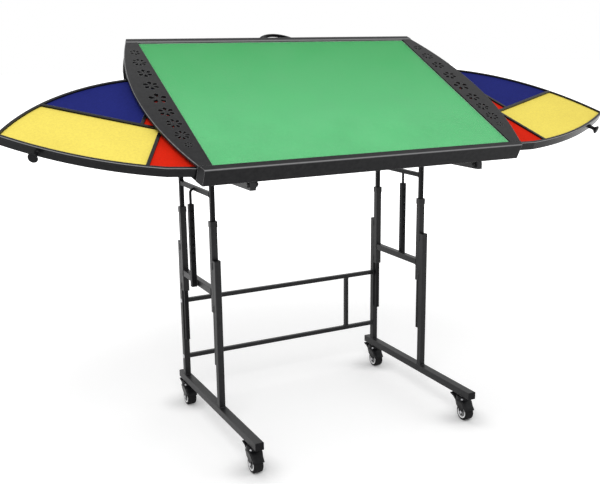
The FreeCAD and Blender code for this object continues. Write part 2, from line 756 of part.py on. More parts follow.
def tray_outline(inset):
    """Closed plan of the right-hand tray, drawn inwards from its outside by the inset."""
    pivot = Vector(pivot_x, pivot_y, 0)
    back_centre = Vector(pivot_x + back_wall_reach, pivot_y - back_wall_front, 0)
    back = back_wall_radius - inset
    arc = tray_arc_radius - inset
    apex = apex_radius - inset
    front_y = pivot_y - apex
    tip = circle_crossing(Vector(side_arc_x, felt_depth / 2, 0), arc, back_centre, back)
    blend = Vector(arc_x(apex_blend_y, arc), apex_blend_y, 0)
    # the straight stretch leaves the curve at the blend point and is tangent to the apex
    to_blend = blend.sub(pivot)
    bearing = math.atan2(to_blend.y, to_blend.x)
    touch = bearing - math.acos(apex / to_blend.Length)
    touch_point = on_circle(pivot, apex, touch)
    apex_middle = on_circle(pivot, apex, (touch - math.pi / 2) / 2)
    apex_bottom = Vector(pivot_x, front_y, 0)
    along = math.sqrt(back ** 2 - (front_y - back_centre.y) ** 2)
    corner = Vector(back_centre.x - along, front_y, 0)
    start = math.atan2(corner.y - back_centre.y, corner.x - back_centre.x)
    end = math.atan2(tip.y - back_centre.y, tip.x - back_centre.x)
    side_y = (tip.y + apex_blend_y) / 2
    edges = [
        Part.LineSegment(apex_bottom, corner).toShape(),
        Part.Arc(corner, on_circle(back_centre, back, (start + end) / 2), tip).toShape(),
        Part.Arc(tip, Vector(arc_x(side_y, arc), side_y, 0), blend).toShape(),
        Part.LineSegment(blend, touch_point).toShape(),
        Part.Arc(touch_point, apex_middle, apex_bottom).toShape(),
    ]
    # in by the corner radius and out again leaves every sharp corner round
    radius = tray_corner - inset
    shrunk = Part.Wire(edges).makeOffset2D(-radius, 0, False, False, False)
    return shrunk.makeOffset2D(radius, 0, False, False, False)


def on_circle(centre, radius, angle):
    return centre.add(Vector(math.cos(angle), math.sin(angle), 0).multiply(radius))


def circle_crossing(first, first_radius, second, second_radius):
    """The crossing of two circles that lies farther up the slope."""
    gap = second.sub(first)
    distance = gap.Length
    along = (first_radius ** 2 - second_radius ** 2 + distance ** 2) / (2 * distance)
    off = math.sqrt(first_radius ** 2 - along ** 2)
    unit = gap.multiply(1 / distance)
    side = Vector(-unit.y, unit.x, 0)
    return first.add(Vector(unit.x, unit.y, 0).multiply(along)).add(side.multiply(off))


def tray_block(inset, z0, z1):
    """The closed tray's plan between two heights."""
    block = prism(tray_outline(inset), z1 - z0)
    block.translate(Vector(0, 0, z0))
    return block


def rib_walls(width, z0, z1):
    """The ribs that part the tray into its three compartments."""
    half = width / 2
    outer = box(rib_along_x, side_peak_x, rib_outer_y - half, rib_outer_y + half, z0, z1)
    inner = box(0, rib_along_x, rib_inner_y - half, rib_inner_y + half, z0, z1)
    along = box(rib_along_x - half, rib_along_x + half, rib_outer_y - half, felt_depth, z0, z1)
    return outer.fuse([inner, along])


def drawer_tray():
    """Moulded tray: rounded rim, floor under the felt, ribs, a bead outside, a pivot boss."""
    tray = tray_block(0, tray_bottom, tray_top)
    rim = [edge for edge in tray.Edges if abs(edge.BoundBox.ZMin - tray_top) < 0.01]
    tray = tray.makeFillet(rim_round, rim)
    bead_z = tray_top - bead_drop
    tray = tray.cut(tray_block(drawer_wall, floor_level, tray_top + 1)
                    .cut(rib_walls(drawer_wall, floor_level - 1, tray_top + 1)))
    tray = tray.cut(tray_block(drawer_wall, tray_bottom - 1, floor_level - drawer_floor))
    boss = cylinder(pivot_boss_radius, Vector(pivot_x, pivot_y, tray_bottom),
                    Vector(pivot_x, pivot_y, tray_top))
    tray = tray.fuse(boss)
    below_bead = tray_block(-1, tray_bottom - 1, bead_z)
    below_bead = below_bead.cut(tray_block(bead_size, tray_bottom - 2, bead_z + 1))
    tray = tray.cut(below_bead)
    tray = tray.cut(cylinder(pivot_radius + running_clearance,
                             Vector(pivot_x, pivot_y, tray_bottom - 1),
                             Vector(pivot_x, pivot_y, tray_top + 1)))
    return tray.removeSplitter()


def drawer_felts():
    """Felt pads on the tray floor: outer, inner and front compartments."""
    gap = soft_gap
    pads = tray_block(drawer_wall + gap, floor_level, felt_level)
    pads = pads.cut(rib_walls(drawer_wall + 2 * gap, floor_level - 1, felt_level + 1))
    pads = pads.cut(cylinder(pivot_boss_radius + gap, Vector(pivot_x, pivot_y, floor_level - 1),
                             Vector(pivot_x, pivot_y, felt_level + 1)))
    outer, inner, front = None, None, None
    for pad in pads.Solids:
        centre = pad.CenterOfMass
        if centre.y < rib_outer_y:
            front = pad
        elif centre.x > rib_along_x:
            outer = pad
        else:
            inner = pad
    return outer, inner, front


def drawer_pull():
    """Flared pull knob, turned about its own axis and set square to the curved wall."""
    profile = [
        Vector(0, 0, 0), Vector(pull_neck + pull_foot, 0, 0), Vector(pull_neck, 0, 4),
        Vector(pull_neck, 0, pull_length - 12), Vector(pull_radius - pull_rim, 0, pull_length - 6),
        Vector(pull_radius, 0, pull_length - 4), Vector(pull_radius - pull_rim, 0, pull_length - 1.2),
        Vector(pull_radius - 5, 0, pull_length), Vector(0, 0, pull_length),
    ]
    knob = Part.Face(Part.makePolygon(profile + profile[:1])).revolve(
        Vector(0, 0, 0), Vector(0, 0, 1), 360)
    knob = turn_to(knob, "x")
    slope = math.atan2(pull_y - felt_depth / 2, arc_x(pull_y, tray_arc_radius) - side_arc_x)
    knob.rotate(Vector(0, 0, 0), Vector(0, 0, 1), math.degrees(slope))
    seat = tray_arc_radius - bead_size
    middle_z = (tray_top - bead_drop + tray_bottom) / 2
    knob.translate(Vector(side_arc_x + seat * math.cos(slope),
                          felt_depth / 2 + seat * math.sin(slope), middle_z))
    return knob


def drawer_pivot():
    """Steel pin that stands between the bottom panel and the work panel."""
    return cylinder(pivot_radius, Vector(pivot_x, pivot_y, cavity_bottom),
                    Vector(pivot_x, pivot_y, cavity_top))


def swung(shape, side):
    """Swing a closed right-hand drawer piece open, on the right (1) or the left (-1)."""
    turned = shape.copy()
    angle = right_open_angle if side > 0 else left_open_angle
    turned.rotate(Vector(pivot_x, pivot_y, 0), Vector(0, 0, 1), -angle)
    if side < 0:
        turned = mirrored(turned)
    return on_board(turned)


# ---------------------------------------------------------------- casters


def caster_places():
    return (-foot_length / 2 + caster_inset, foot_length / 2 - caster_inset)


def caster_stem():
    """Threaded stem with its collar under the foot and a rivet head inside the fork."""
    rivet_top = head_top - head_plate - soft_gap
    stem = cylinder(stem_radius, Vector(0, 0, rivet_top), Vector(0, 0, foot_top - tube_wall - 1))
    collar = cylinder(stem_collar_radius, Vector(0, 0, head_top), Vector(0, 0, foot_underside))
    rivet = cylinder(rivet_radius, Vector(0, 0, rivet_top - rivet_height), Vector(0, 0, rivet_top))
    return stem.fuse([collar, rivet]).removeSplitter()


def fork_side():
    """Side view of the fork, from the hood in front round the axle boss to the back edge."""
    roof = head_top - head_thickness
    front = -wheel_radius - hood_gap - hood_thickness
    back = caster_trail + head_radius - cheek_back
    points = [(front, roof), (front, axle_height + cheek_top), (-18, axle_height + 14),
              (-8, axle_height + 2), (-7, axle_height - 5), (-2, axle_height - 8),
              (5, axle_height - 7), (back - 3, axle_height + 9), (back, axle_height + cheek_top),
              (back, roof)]
    corners = [Vector(0, y - caster_trail, z) for y, z in points]
    return Part.Face(Part.makePolygon(corners + corners[:1]))


def caster_fork():
    """Pressed fork: swivel head, two cheeks joined by a hood over the tyre, and the axle."""
    cheek_x = wheel_width / 2 + cheek_gap
    outer_x = cheek_x + cheek_thickness
    roof = head_top - head_thickness
    centre_y = -caster_trail
    side = fork_side()
    body = side.extrude(Vector(2 * outer_x, 0, 0))
    body.translate(Vector(-outer_x, 0, 0))
    # the wheel's room: open below and behind, closed in front and on top by the hood
    room = side.extrude(Vector(2 * cheek_x, 0, 0))
    room.translate(Vector(-cheek_x, hood_thickness, -hood_thickness))
    behind = wheel_radius + head_radius
    room = room.fuse(box(-cheek_x, cheek_x, centre_y - wheel_radius - hood_gap, behind,
                         0, axle_height + cheek_top))
    room = room.fuse(box(-cheek_x, cheek_x, cheek_back, behind, 0, roof - hood_thickness))
    fork = body.cut(room)
    head = Part.makeCylinder(head_radius, head_thickness, Vector(0, 0, roof))
    pocket = Part.makeCylinder(head_radius - 5, head_thickness - head_plate + hood_thickness + 1,
                               Vector(0, 0, roof - hood_thickness - 1))
    fork = fork.fuse(head).cut(pocket)
    top_edges = [edge for edge in fork.Edges if edge.Curve.TypeId == "Part::GeomCircle"
                 and abs(edge.CenterOfMass.z - head_top) < 0.01]
    fork = fork.makeFillet(2.0, top_edges)
    fork = fork.cut(cylinder(stem_radius + running_clearance, Vector(0, 0, roof),
                             Vector(0, 0, head_top + 1)))
    pin_y, pin_z = pedal_pin_back - caster_trail, axle_height + pedal_pin_up
    fork = fork.cut(cylinder(pedal_pin_radius + running_clearance, Vector(-2 * outer_x, pin_y, pin_z),
                             Vector(2 * outer_x, pin_y, pin_z)))
    axle = cylinder(axle_radius, Vector(-outer_x - 2, centre_y, axle_height),
                    Vector(outer_x + 2, centre_y, axle_height))
    return fork.fuse(axle).removeSplitter()


def caster_tyre():
    """Solid tyre with rounded shoulders."""
    half = wheel_width / 2
    inner = wheel_radius - tyre_thickness
    crown = wheel_radius
    turn = tyre_round * (1 - math.cos(math.pi / 4))
    left, right = -half + tyre_round, half - tyre_round
    shoulder = crown - tyre_round
    profile = Part.Wire([
        Part.LineSegment(Vector(-half, 0, inner), Vector(-half, 0, shoulder)).toShape(),
        Part.Arc(Vector(-half, 0, shoulder), Vector(-half + turn, 0, crown - turn),
                 Vector(left, 0, crown)).toShape(),
        Part.LineSegment(Vector(left, 0, crown), Vector(right, 0, crown)).toShape(),
        Part.Arc(Vector(right, 0, crown), Vector(half - turn, 0, crown - turn),
                 Vector(half, 0, shoulder)).toShape(),
        Part.LineSegment(Vector(half, 0, shoulder), Vector(half, 0, inner)).toShape(),
        Part.LineSegment(Vector(half, 0, inner), Vector(-half, 0, inner)).toShape()])
    tyre = Part.Face(profile).revolve(Vector(0, 0, 0), Vector(1, 0, 0), 360)
    tyre.translate(Vector(0, -caster_trail, axle_height))
    return tyre


def caster_hub():
    """Hub with a raised ring at its rim, a dished web and a boss on the axle."""
    half = wheel_width / 2
    rim = wheel_radius - tyre_thickness
    web = half - hub_dish
    bore = axle_radius + running_clearance
    face = half + 0.4
    points = [
        Vector(-face, 0, bore), Vector(-face, 0, bore + 3), Vector(-web, 0, bore + 4.5),
        Vector(-web, 0, rim - 6), Vector(-half, 0, rim - 4.5), Vector(-half, 0, rim),
        Vector(half, 0, rim), Vector(half, 0, rim - 4.5), Vector(web, 0, rim - 6),
        Vector(web, 0, bore + 4.5), Vector(face, 0, bore + 3), Vector(face, 0, bore),
    ]
    hub = Part.Face(Part.makePolygon(points + points[:1])).revolve(
        Vector(0, 0, 0), Vector(1, 0, 0), 360)
    hub.translate(Vector(0, -caster_trail, axle_height))
    return hub


def brake_pedal():
    """Foot pedal on a cross pin, with a pad that swings forward on to the tyre."""
    pin_y, pin_z = pedal_pin_back - caster_trail, axle_height + pedal_pin_up
    half = wheel_width / 2 + cheek_gap - pedal_side_gap
    outer_x = wheel_width / 2 + cheek_gap + cheek_thickness
    points = [(-4, 3), (5, 5), (pedal_reach / 2, pedal_rise - 3),
              (pedal_reach - 4, pedal_rise + 1.5), (pedal_reach, pedal_rise),
              (pedal_reach - 1, pedal_rise - 2.5), (pedal_reach / 2 + 2, pedal_rise - 7),
              (7, -3), (1, -10), (-4, -11.5), (-5, -8)]
    corners = [Vector(-half, pin_y + y, pin_z + z) for y, z in points]
    lever = Part.Face(Part.makePolygon(corners + corners[:1])).extrude(Vector(2 * half, 0, 0))
    pin = cylinder(pedal_pin_radius, Vector(-outer_x, pin_y, pin_z), Vector(outer_x, pin_y, pin_z))
    return lever.fuse(pin).removeSplitter()


def at_caster(shape, x, y):
    placed = shape.copy()
    placed.translate(Vector(x, y, 0))
    return placed


# ---------------------------------------------------------------- build and export


def build_stand():
    tube = foot_tube()
    export("foot_tube_right", tube)
    export("foot_tube_left", mirrored(tube))
    export("tube_end_caps", [part for cap in end_caps() for part in both_sides(cap)])
    posts = [outer_post(front_post_y), outer_post(back_post_y)]
    export("outer_posts", [part for post in posts for part in both_sides(post)])
    sleeves = [sleeve_post(sleeve_front_y), sleeve_post(sleeve_back_y)]
    export("sleeve_posts_right", sleeves)
    export("sleeve_posts_left", [mirrored(sleeve) for sleeve in sleeves])
    collars = [sleeve_collar(sleeve_front_y), sleeve_collar(sleeve_back_y)]
    export("sleeve_collars", [part for collar in collars for part in both_sides(collar)])
    export("sleeve_crossbars", both_sides(sleeve_crossbar()))
    export("lower_rail", stretcher_rail(lower_rail_height))
    export("upper_rail", stretcher_rail(upper_rail_height))
    export("rail_uprights", both_sides(rail_upright()))
    export("rail_bolts", rail_bolts())
    export("strut_tubes", both_sides(strut_tube()))


def build_casters():
    corners = {
        "front_left": (-leg_x, caster_places()[0]), "front_right": (leg_x, caster_places()[0]),
        "back_left": (-leg_x, caster_places()[1]), "back_right": (leg_x, caster_places()[1]),
    }
    export("caster_stems", [at_caster(caster_stem(), x, y) for x, y in corners.values()])
    pieces = {"caster_fork": caster_fork(), "caster_tyre": caster_tyre(),
              "caster_hub": caster_hub(), "brake_pedal": brake_pedal()}
    for corner, (x, y) in corners.items():
        for name, piece in pieces.items():
            export(name + "_" + corner, at_caster(piece, x, y))


def build_lift_frame():
    posts = [lift_post(sleeve_front_y), lift_post(sleeve_back_y)]
    export("lift_posts_right", posts)
    export("lift_posts_left", [mirrored(post) for post in posts])
    export("lift_crossbars", both_sides(lift_crossbar()))
    export("top_bars", both_sides(top_bar()))
    export("strut_rods", both_sides(strut_rod()))
    export("tilt_bolts", both_sides(hinge_bolt()) + both_sides(clamp_bolt()))
    knob = clamp_knob()
    export("clamp_knob_right", knob)
    export("clamp_knob_left", mirrored(knob))


def build_board():
    export("bottom_panel", on_board(bottom_panel()))
    export("work_panel", on_board(work_panel()))
    felt = box(-half_felt, half_felt, 0, felt_depth, panel_top, 0)
    export("felt_top", on_board(felt))
    export("front_rail", on_board(front_rail()))
    export("back_rail", on_board(back_rail()))
    panel = on_board(side_panel())
    export("side_panel_right", panel)
    export("side_panel_left", mirrored(panel))
    export("inner_ribs", [on_board(rib) for rib in inner_ribs()])
    export("tilt_brackets", both_sides(tilt_bracket()))
    export("carry_handle", carry_handle())
    export("drawer_pivots", both_sides(on_board(drawer_pivot())))
    export("cover_sheet", cover_sheet())


def build_drawers():
    outer, inner, front = drawer_felts()
    pieces = {"drawer_tray": drawer_tray(), "drawer_pull": drawer_pull(),
              "yellow_felt": outer, "blue_felt": inner, "red_felt": front}
    for side, name in ((1, "right"), (-1, "left")):
        for piece, shape in pieces.items():
            export(piece + "_" + name, swung(shape, side))


os.makedirs("parts", exist_ok=True)
build_stand()
build_casters()
build_lift_frame()
build_board()
build_drawers()
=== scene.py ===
import bpy
import bmesh
import json
import math
from mathutils import Matrix, Vector


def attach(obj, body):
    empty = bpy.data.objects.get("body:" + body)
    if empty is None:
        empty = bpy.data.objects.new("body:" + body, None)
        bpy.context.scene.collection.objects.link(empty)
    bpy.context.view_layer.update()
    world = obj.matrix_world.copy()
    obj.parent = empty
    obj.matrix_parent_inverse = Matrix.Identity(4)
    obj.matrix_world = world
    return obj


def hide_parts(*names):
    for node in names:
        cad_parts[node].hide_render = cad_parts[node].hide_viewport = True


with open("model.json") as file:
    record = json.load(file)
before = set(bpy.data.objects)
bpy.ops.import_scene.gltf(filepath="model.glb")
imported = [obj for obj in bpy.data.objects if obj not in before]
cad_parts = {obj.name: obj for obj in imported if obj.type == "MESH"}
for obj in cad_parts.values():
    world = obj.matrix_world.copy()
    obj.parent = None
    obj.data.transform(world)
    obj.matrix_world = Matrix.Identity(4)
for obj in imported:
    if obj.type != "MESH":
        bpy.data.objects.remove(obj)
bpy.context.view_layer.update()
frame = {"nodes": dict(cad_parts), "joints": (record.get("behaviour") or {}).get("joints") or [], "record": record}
nodes = frame["nodes"]
joints = {joint["name"]: joint for joint in frame["joints"]}
boardNormal = Vector(joints["cover_lift_off"]["axis"])      # square to the felt
tilt = math.atan2(-boardNormal.y, boardNormal.z)
hinge = Vector(joints["board_tilt"]["pos_m"])
print("frame loaded:", len(nodes), "nodes")


# camera, room and light

view = {
    "place": (-1.2072, -2.2395, 1.1417),
    "yaw": 26.893,        # degrees to the right of straight ahead
    "pitch": 13.205,      # degrees down
    "roll": -0.655,       # degrees
    "focal": 863.25,      # in pixels of an image that is imageWidth wide
    "imageWidth": 600,
    "sensor": 36.0,
    "farClip": 200,
}

studio = {
    "floorSize": 60.0, "floorDrop": 0.0005,
    "floorColour": (0.92, 0.92, 0.92, 1), "floorRough": 0.9, "floorGloss": 0.1,
    "floorGlow": 0.24,    # lifts the floor to white where it is seen
    "glowNear": 0.8, "glowFar": 3.2,      # the glow grows to full white between these distances
    "wheelAcross": 0.352, "wheelAlong": 0.265, "wheelShade": 0.11,      # no glow at the wheels, which paints a soft shadow round each
    "worldDiffuse": 0.66,      # the room's light on the object, where 1 is white
    "keyPlace": (-1.3, -2.4, 2.9), "keySize": 2.0, "keyPower": 44,
    "fillPlace": (3.4, -1.4, 2.2), "fillSize": 2.6, "fillPower": 20,
    "rimPlace": (-0.4, 3.0, 2.6), "rimSize": 2.6, "rimPower": 20,
    "aim": (0, 0, 0.75),
}


def addCamera():
    data = bpy.data.cameras.new("camera")
    camera = bpy.data.objects.new("camera", data)
    bpy.context.scene.collection.objects.link(camera)
    yaw, pitch, roll = (math.radians(view[key]) for key in ("yaw", "pitch", "roll"))
    turn = Matrix.Rotation(-yaw, 4, "Z") @ Matrix.Rotation(math.pi / 2 - pitch, 4, "X")
    camera.matrix_world = Matrix.Translation(view["place"]) @ turn @ Matrix.Rotation(roll, 4, "Z")
    data.sensor_width = view["sensor"]
    data.lens = view["focal"] / view["imageWidth"] * view["sensor"]
    data.clip_end = view["farClip"]
    bpy.context.scene.camera = camera


def addLamp(name):
    data = bpy.data.lights.new(name, "AREA")
    data.shape = "DISK"
    data.size = studio[name + "Size"]
    data.energy = studio[name + "Power"]
    lamp = bpy.data.objects.new(name + "Lamp", data)
    bpy.context.scene.collection.objects.link(lamp)
    lamp.location = studio[name + "Place"]
    lamp.rotation_euler = (Vector(studio["aim"]) - lamp.location).to_track_quat("-Z", "Y").to_euler()


# shader maths: a socket that can be added, multiplied and compared

class Socket:
    def __init__(self, tree, out):
        self.tree = tree
        self.out = out

    def math(self, operation, *values):
        return self.tree.add("ShaderNodeMath", {"operation": operation}, dict(enumerate(values)))

    def __add__(self, other):
        return self.math("ADD", self, other)

    def __radd__(self, other):
        return self.math("ADD", other, self)

    def __sub__(self, other):
        return self.math("SUBTRACT", self, other)

    def __rsub__(self, other):
        return self.math("SUBTRACT", other, self)

    def __mul__(self, other):
        return self.math("MULTIPLY", self, other)

    def __rmul__(self, other):
        return self.math("MULTIPLY", other, self)

    def __lt__(self, other):
        return self.math("LESS_THAN", self, other)

    def __gt__(self, other):
        return self.math("GREATER_THAN", self, other)

    def power(self, other):
        return self.math("POWER", self, other)

    def size(self):
        return self.math("ABSOLUTE", self)

    def most(self, other):
        return self.math("MAXIMUM", self, other)

    def least(self, other):
        return self.math("MINIMUM", self, other)


class NodeTree:
    def __init__(self, tree):
        self.tree = tree

    def add(self, kind, settings=None, inputs=None, output=0):
        node = self.tree.nodes.new(kind)
        for key, value in (settings or {}).items():
            setattr(node, key, value)
        for key, value in (inputs or {}).items():
            self.feed(node.inputs[key], value)
        return Socket(self, node.outputs[output])

    def feed(self, socket, value):
        if isinstance(value, Socket):
            self.tree.links.new(value.out, socket)
        else:
            socket.default_value = value

    def seen(self):      # 1 for camera, mirror and see-through rays, 0 for the light itself
        camera, glossy, through = (self.add("ShaderNodeLightPath", output="Is " + ray + " Ray")
                                   for ray in ("Camera", "Glossy", "Transmission"))
        return camera.most(glossy).most(through)


shading = {"noiseRough": 0.55, "bevelSamples": 4, "wornAndLitGain": 4, "turnedGain": 3.4}


class Shader(NodeTree):
    def __init__(self, name):
        self.material = bpy.data.materials.new(name)
        self.material.use_nodes = True
        super().__init__(self.material.node_tree)
        self.surface = self.tree.nodes["Principled BSDF"]

    def set(self, **values):
        for key, value in values.items():
            self.feed(self.surface.inputs[key.replace("_", " ")], value)

    def place(self, scale=(1, 1, 1), turn=(0, 0, 0)):
        coordinates = self.add("ShaderNodeTexCoord", output="Object")
        return self.add("ShaderNodeMapping", inputs={
            "Vector": coordinates, "Scale": scale, "Rotation": turn})

    def noise(self, size, detail=3.0, where=None):
        return self.add("ShaderNodeTexNoise", inputs={
            "Vector": where or self.place(), "Scale": 1 / size, "Detail": detail,
            "Roughness": shading["noiseRough"]})

    def split(self, vector):
        return [self.add("ShaderNodeSeparateXYZ", inputs={"Vector": vector}, output=axis)
                for axis in "XYZ"]

    def blend(self, mask, low, high):      # two colours, which Mix takes at 6 and 7 and gives at 2
        return self.add("ShaderNodeMix", {"data_type": "RGBA"}, {"Factor": mask, 6: low, 7: high},
                        output=2)

    def between(self, mask, low, high):      # two numbers
        return mask * (high - low) + low

    def rounded(self, radius):
        return self.add("ShaderNodeBevel", {"samples": shading["bevelSamples"]}, {"Radius": radius})

    def relief(self, height, depth, strength, rounding=None):
        inputs = {"Height": height, "Distance": depth, "Strength": strength}
        if rounding:
            inputs["Normal"] = self.rounded(rounding)
        return self.add("ShaderNodeBump", inputs=inputs)

    def wornAndLitEdge(self, radius):      # grows on a sharp edge, 0 on flat faces
        flat = self.add("ShaderNodeNewGeometry", output="Normal")
        alike = self.add("ShaderNodeVectorMath", {"operation": "DOT_PRODUCT"},
                         {0: self.rounded(radius), 1: flat}, output="Value")
        return (1 - alike) * shading["wornAndLitGain"]

    def turnedEdge(self, onTilt):    # 1 in the middle of a rounded corner, 0 on the faces beside it
        across, along, out = self.split(self.add("ShaderNodeTexCoord", output="Normal"))
        if onTilt:
            along, out = (along * math.cos(tilt) + out * math.sin(tilt),
                          out * math.cos(tilt) - along * math.sin(tilt))
            straight = (across * across + along * along).power(0.5).most(out.size())
        else:
            straight = across.size().most(along.size()).most(out.size())
        return ((1 - straight) * shading["turnedGain"]).least(1)


# black finishes: dark and light are mottled together, edge is a corner that handling has polished
# and that is lightened further as a painted highlight, wearAndHighlight the most that it shows,
# line is a painted highlight, a pale line along a rounded corner; patch, mottle and
# grain are sizes in metres, depth is the grain's, rounding is the radius that sharp corners catch
# the light with; smooth and dull are the ends of the roughness; onTilt is for pieces that lie along the tilted
# board

powderCoat = {
    "dark": (0.009, 0.009, 0.010, 1), "light": (0.018, 0.018, 0.019, 1),
    "edge": (0.085, 0.085, 0.088, 1), "line": (0.060, 0.060, 0.062, 1),
    "patch": 0.22, "mottle": 0.009, "grain": 0.0016, "depth": 0.00006,
    "smooth": 0.30, "dull": 0.46, "gloss": 0.19, "rounding": 0.0007, "wearAndHighlight": 0.55, "onTilt": False,
}
liftCoat = {
    "dark": (0.004, 0.004, 0.005, 1), "light": (0.010, 0.010, 0.011, 1),
    "edge": (0.050, 0.050, 0.052, 1), "line": (0.030, 0.030, 0.031, 1),
    "patch": 0.16, "mottle": 0.007, "grain": 0.0014, "depth": 0.00005,
    "smooth": 0.34, "dull": 0.50, "gloss": 0.09, "rounding": 0.0007, "wearAndHighlight": 0.40, "onTilt": False,
}
forkCoat = {
    "dark": (0.004, 0.004, 0.005, 1), "light": (0.009, 0.009, 0.010, 1),
    "edge": (0.060, 0.060, 0.063, 1), "line": None,
    "patch": 0.03, "mottle": 0.005, "grain": 0.0011, "depth": 0.00004,
    "smooth": 0.22, "dull": 0.36, "gloss": 0.14, "rounding": 0.0006, "wearAndHighlight": 0.55, "onTilt": False,
}
blackFoil = {
    "dark": (0.008, 0.008, 0.009, 1), "light": (0.018, 0.018, 0.019, 1),
    "edge": (0.300, 0.300, 0.305, 1), "line": (0.340, 0.340, 0.345, 1),
    "patch": 0.26, "mottle": 0.012, "grain": 0.0011, "depth": 0.00005,
    "smooth": 0.30, "dull": 0.46, "gloss": 0.12, "rounding": 0.0011, "wearAndHighlight": 0.30, "onTilt": True,
}
railFoil = dict(blackFoil, wearAndHighlight=0.90)
blackBacking = {
    "dark": (0.006, 0.006, 0.006, 1), "light": (0.014, 0.014, 0.014, 1),
    "edge": (0.030, 0.029, 0.028, 1), "line": None,
    "patch": 0.20, "mottle": 0.010, "grain": 0.0009, "depth": 0.00008,
    "smooth": 0.66, "dull": 0.86, "gloss": 0.08, "rounding": 0.0006, "wearAndHighlight": 0.55, "onTilt": True,
}
trayPlastic = {
    "dark": (0.005, 0.005, 0.006, 1), "light": (0.011, 0.011, 0.012, 1),
    "edge": (0.060, 0.060, 0.064, 1), "line": (0.420, 0.420, 0.430, 1),
    "patch": 0.15, "mottle": 0.008, "grain": 0.0007, "depth": 0.00003,
    "smooth": 0.18, "dull": 0.32, "gloss": 0.15, "rounding": 0.0009, "wearAndHighlight": 0.60, "onTilt": True,
}
mouldedPlastic = {
    "dark": (0.004, 0.004, 0.005, 1), "light": (0.009, 0.009, 0.010, 1),
    "edge": (0.060, 0.060, 0.064, 1), "line": None,
    "patch": 0.05, "mottle": 0.006, "grain": 0.0008, "depth": 0.00007,
    "smooth": 0.34, "dull": 0.52, "gloss": 0.10, "rounding": 0.0008, "wearAndHighlight": 0.55, "onTilt": False,
}
blackMix = {"patchShare": 0.4, "mottleFrom": 0.35, "mottleGain": 1.9, "lineShare": 0.8,
            "wornAndLitReach": 1.6, "patchGloss": 0.7, "grainGloss": 0.3, "relief": 0.7}


def blackFinish(name, look):
    mix = blackMix
    shader = Shader(name)
    patches = shader.noise(look["patch"], detail=4.0)
    grain = shader.noise(look["grain"], detail=2.0)
    mottle = shader.noise(look["mottle"])
    cloud = patches * mix["patchShare"] + (mottle - mix["mottleFrom"]) * mix["mottleGain"]
    body = shader.blend(cloud, look["dark"], look["light"])
    # painted highlight: a pale line laid along each rounded corner
    if look["line"]:
        body = shader.blend(shader.turnedEdge(look["onTilt"]) * mix["lineShare"], body, look["line"])
    # polished wear on sharp edges, lightened further as a painted highlight
    wornAndLit = shader.wornAndLitEdge(look["rounding"] * mix["wornAndLitReach"]).least(look["wearAndHighlight"])
    uneven = patches * mix["patchGloss"] + grain * mix["grainGloss"]
    shader.set(
        Base_Color=shader.blend(wornAndLit, body, look["edge"]),
        Roughness=shader.between(uneven, look["smooth"], look["dull"]),
        Normal=shader.relief(grain, look["depth"], mix["relief"], look["rounding"]),
        Specular_IOR_Level=look["gloss"])
    return shader.material


# the other finishes

zinc = {"pale": (0.66, 0.66, 0.68, 1), "grey": (0.42, 0.42, 0.44, 1), "cloud": 0.006,
        "scratch": 0.0004, "drawn": (1, 1, 0.08), "streakGloss": 0.5, "smooth": 0.24, "dull": 0.42,
        "depth": 0.00002, "relief": 0.4, "rounding": 0.0003}
rubber = {"dark": (0.006, 0.006, 0.007, 1), "dusty": (0.022, 0.021, 0.020, 1), "dustAndShadeFade": 2.2,
          "patch": 0.011, "pore": 0.0007, "smooth": 0.55, "dull": 0.80, "gloss": 0.12,
          "depth": 0.00005, "relief": 0.6, "rounding": 0.0006}
hubWhite = {"clean": (0.93, 0.93, 0.94, 1), "grey": (0.78, 0.79, 0.80, 1), "patch": 0.009,
            "stainFade": 3.0, "dustAndShade": (0.10, 0.10, 0.10, 1), "recess": 0.010, "dustAndShadeFade": 2.0,
            "samples": 8, "smooth": 0.22, "dull": 0.40,
            "depth": 0.00003, "relief": 0.3, "rounding": 0.0005}
clear = {"tint": (0.93, 0.97, 0.98, 1), "face": 0.012, "edge": 0.60, "edgeLine": 0.7,
         "scuff": 0.020, "scuffSize": 0.09, "smooth": 0.03, "dull": 0.10}
feltColours = {      # colour, how much it varies
    "greenFelt": ((0.105, 0.535, 0.195), 1.1),
    "yellowFelt": ((0.930, 0.745, 0.135), 0.8),
    "blueFelt": ((0.014, 0.020, 0.165), 1.3),
    "redFelt": ((0.700, 0.018, 0.004), 0.9),
}
feltNap = {
    "fibre": 0.0011, "tuft": 0.006, "cloud": 0.13,
    "thin": 0.16, "upwardTurn": (0, 0, 0.5), "sidewaysTurn": (0, 0, -0.4),      # of the hairs
    "hairShare": 0.5, "tuftShare": 0.3, "cloudShare": 0.2,
    "darker": 0.22, "paler": 0.16, "faceFrom": 0.35, "faceGain": 3.0,
    "smooth": 0.86, "dull": 1.0, "gloss": 0.10, "sheen": 0.18, "sheenRough": 0.45,
    "depth": 0.00030, "relief": 0.8,
}
paintedSlopeShade = {"shadedGreen": (0.050, 0.400, 0.110, 1), "from": 0.30, "to": 0.75,      # board green in painted shade, at its back
          "wander": 0.2}


def zincFinish():
    shader = Shader("zincPlate")
    streak = shader.noise(zinc["scratch"], where=shader.place(zinc["drawn"]))
    cloud = shader.noise(zinc["cloud"], detail=2.0)
    uneven = streak * zinc["streakGloss"] + cloud * (1 - zinc["streakGloss"])
    shader.set(Base_Color=shader.blend(cloud, zinc["grey"], zinc["pale"]), Metallic=1.0,
               Roughness=shader.between(uneven, zinc["smooth"], zinc["dull"]),
               Normal=shader.relief(streak, zinc["depth"], zinc["relief"], zinc["rounding"]))
    return shader.material


def rubberFinish():
    shader = Shader("tyreRubber")
    dustAndShade = shader.noise(rubber["patch"], detail=4.0)
    pore = shader.noise(rubber["pore"], detail=2.0)
    shader.set(Base_Color=shader.blend(dustAndShade.power(rubber["dustAndShadeFade"]), rubber["dark"], rubber["dusty"]),
               Roughness=shader.between(dustAndShade, rubber["smooth"], rubber["dull"]),
               Normal=shader.relief(pore, rubber["depth"], rubber["relief"], rubber["rounding"]),
               Specular_IOR_Level=rubber["gloss"])
    return shader.material


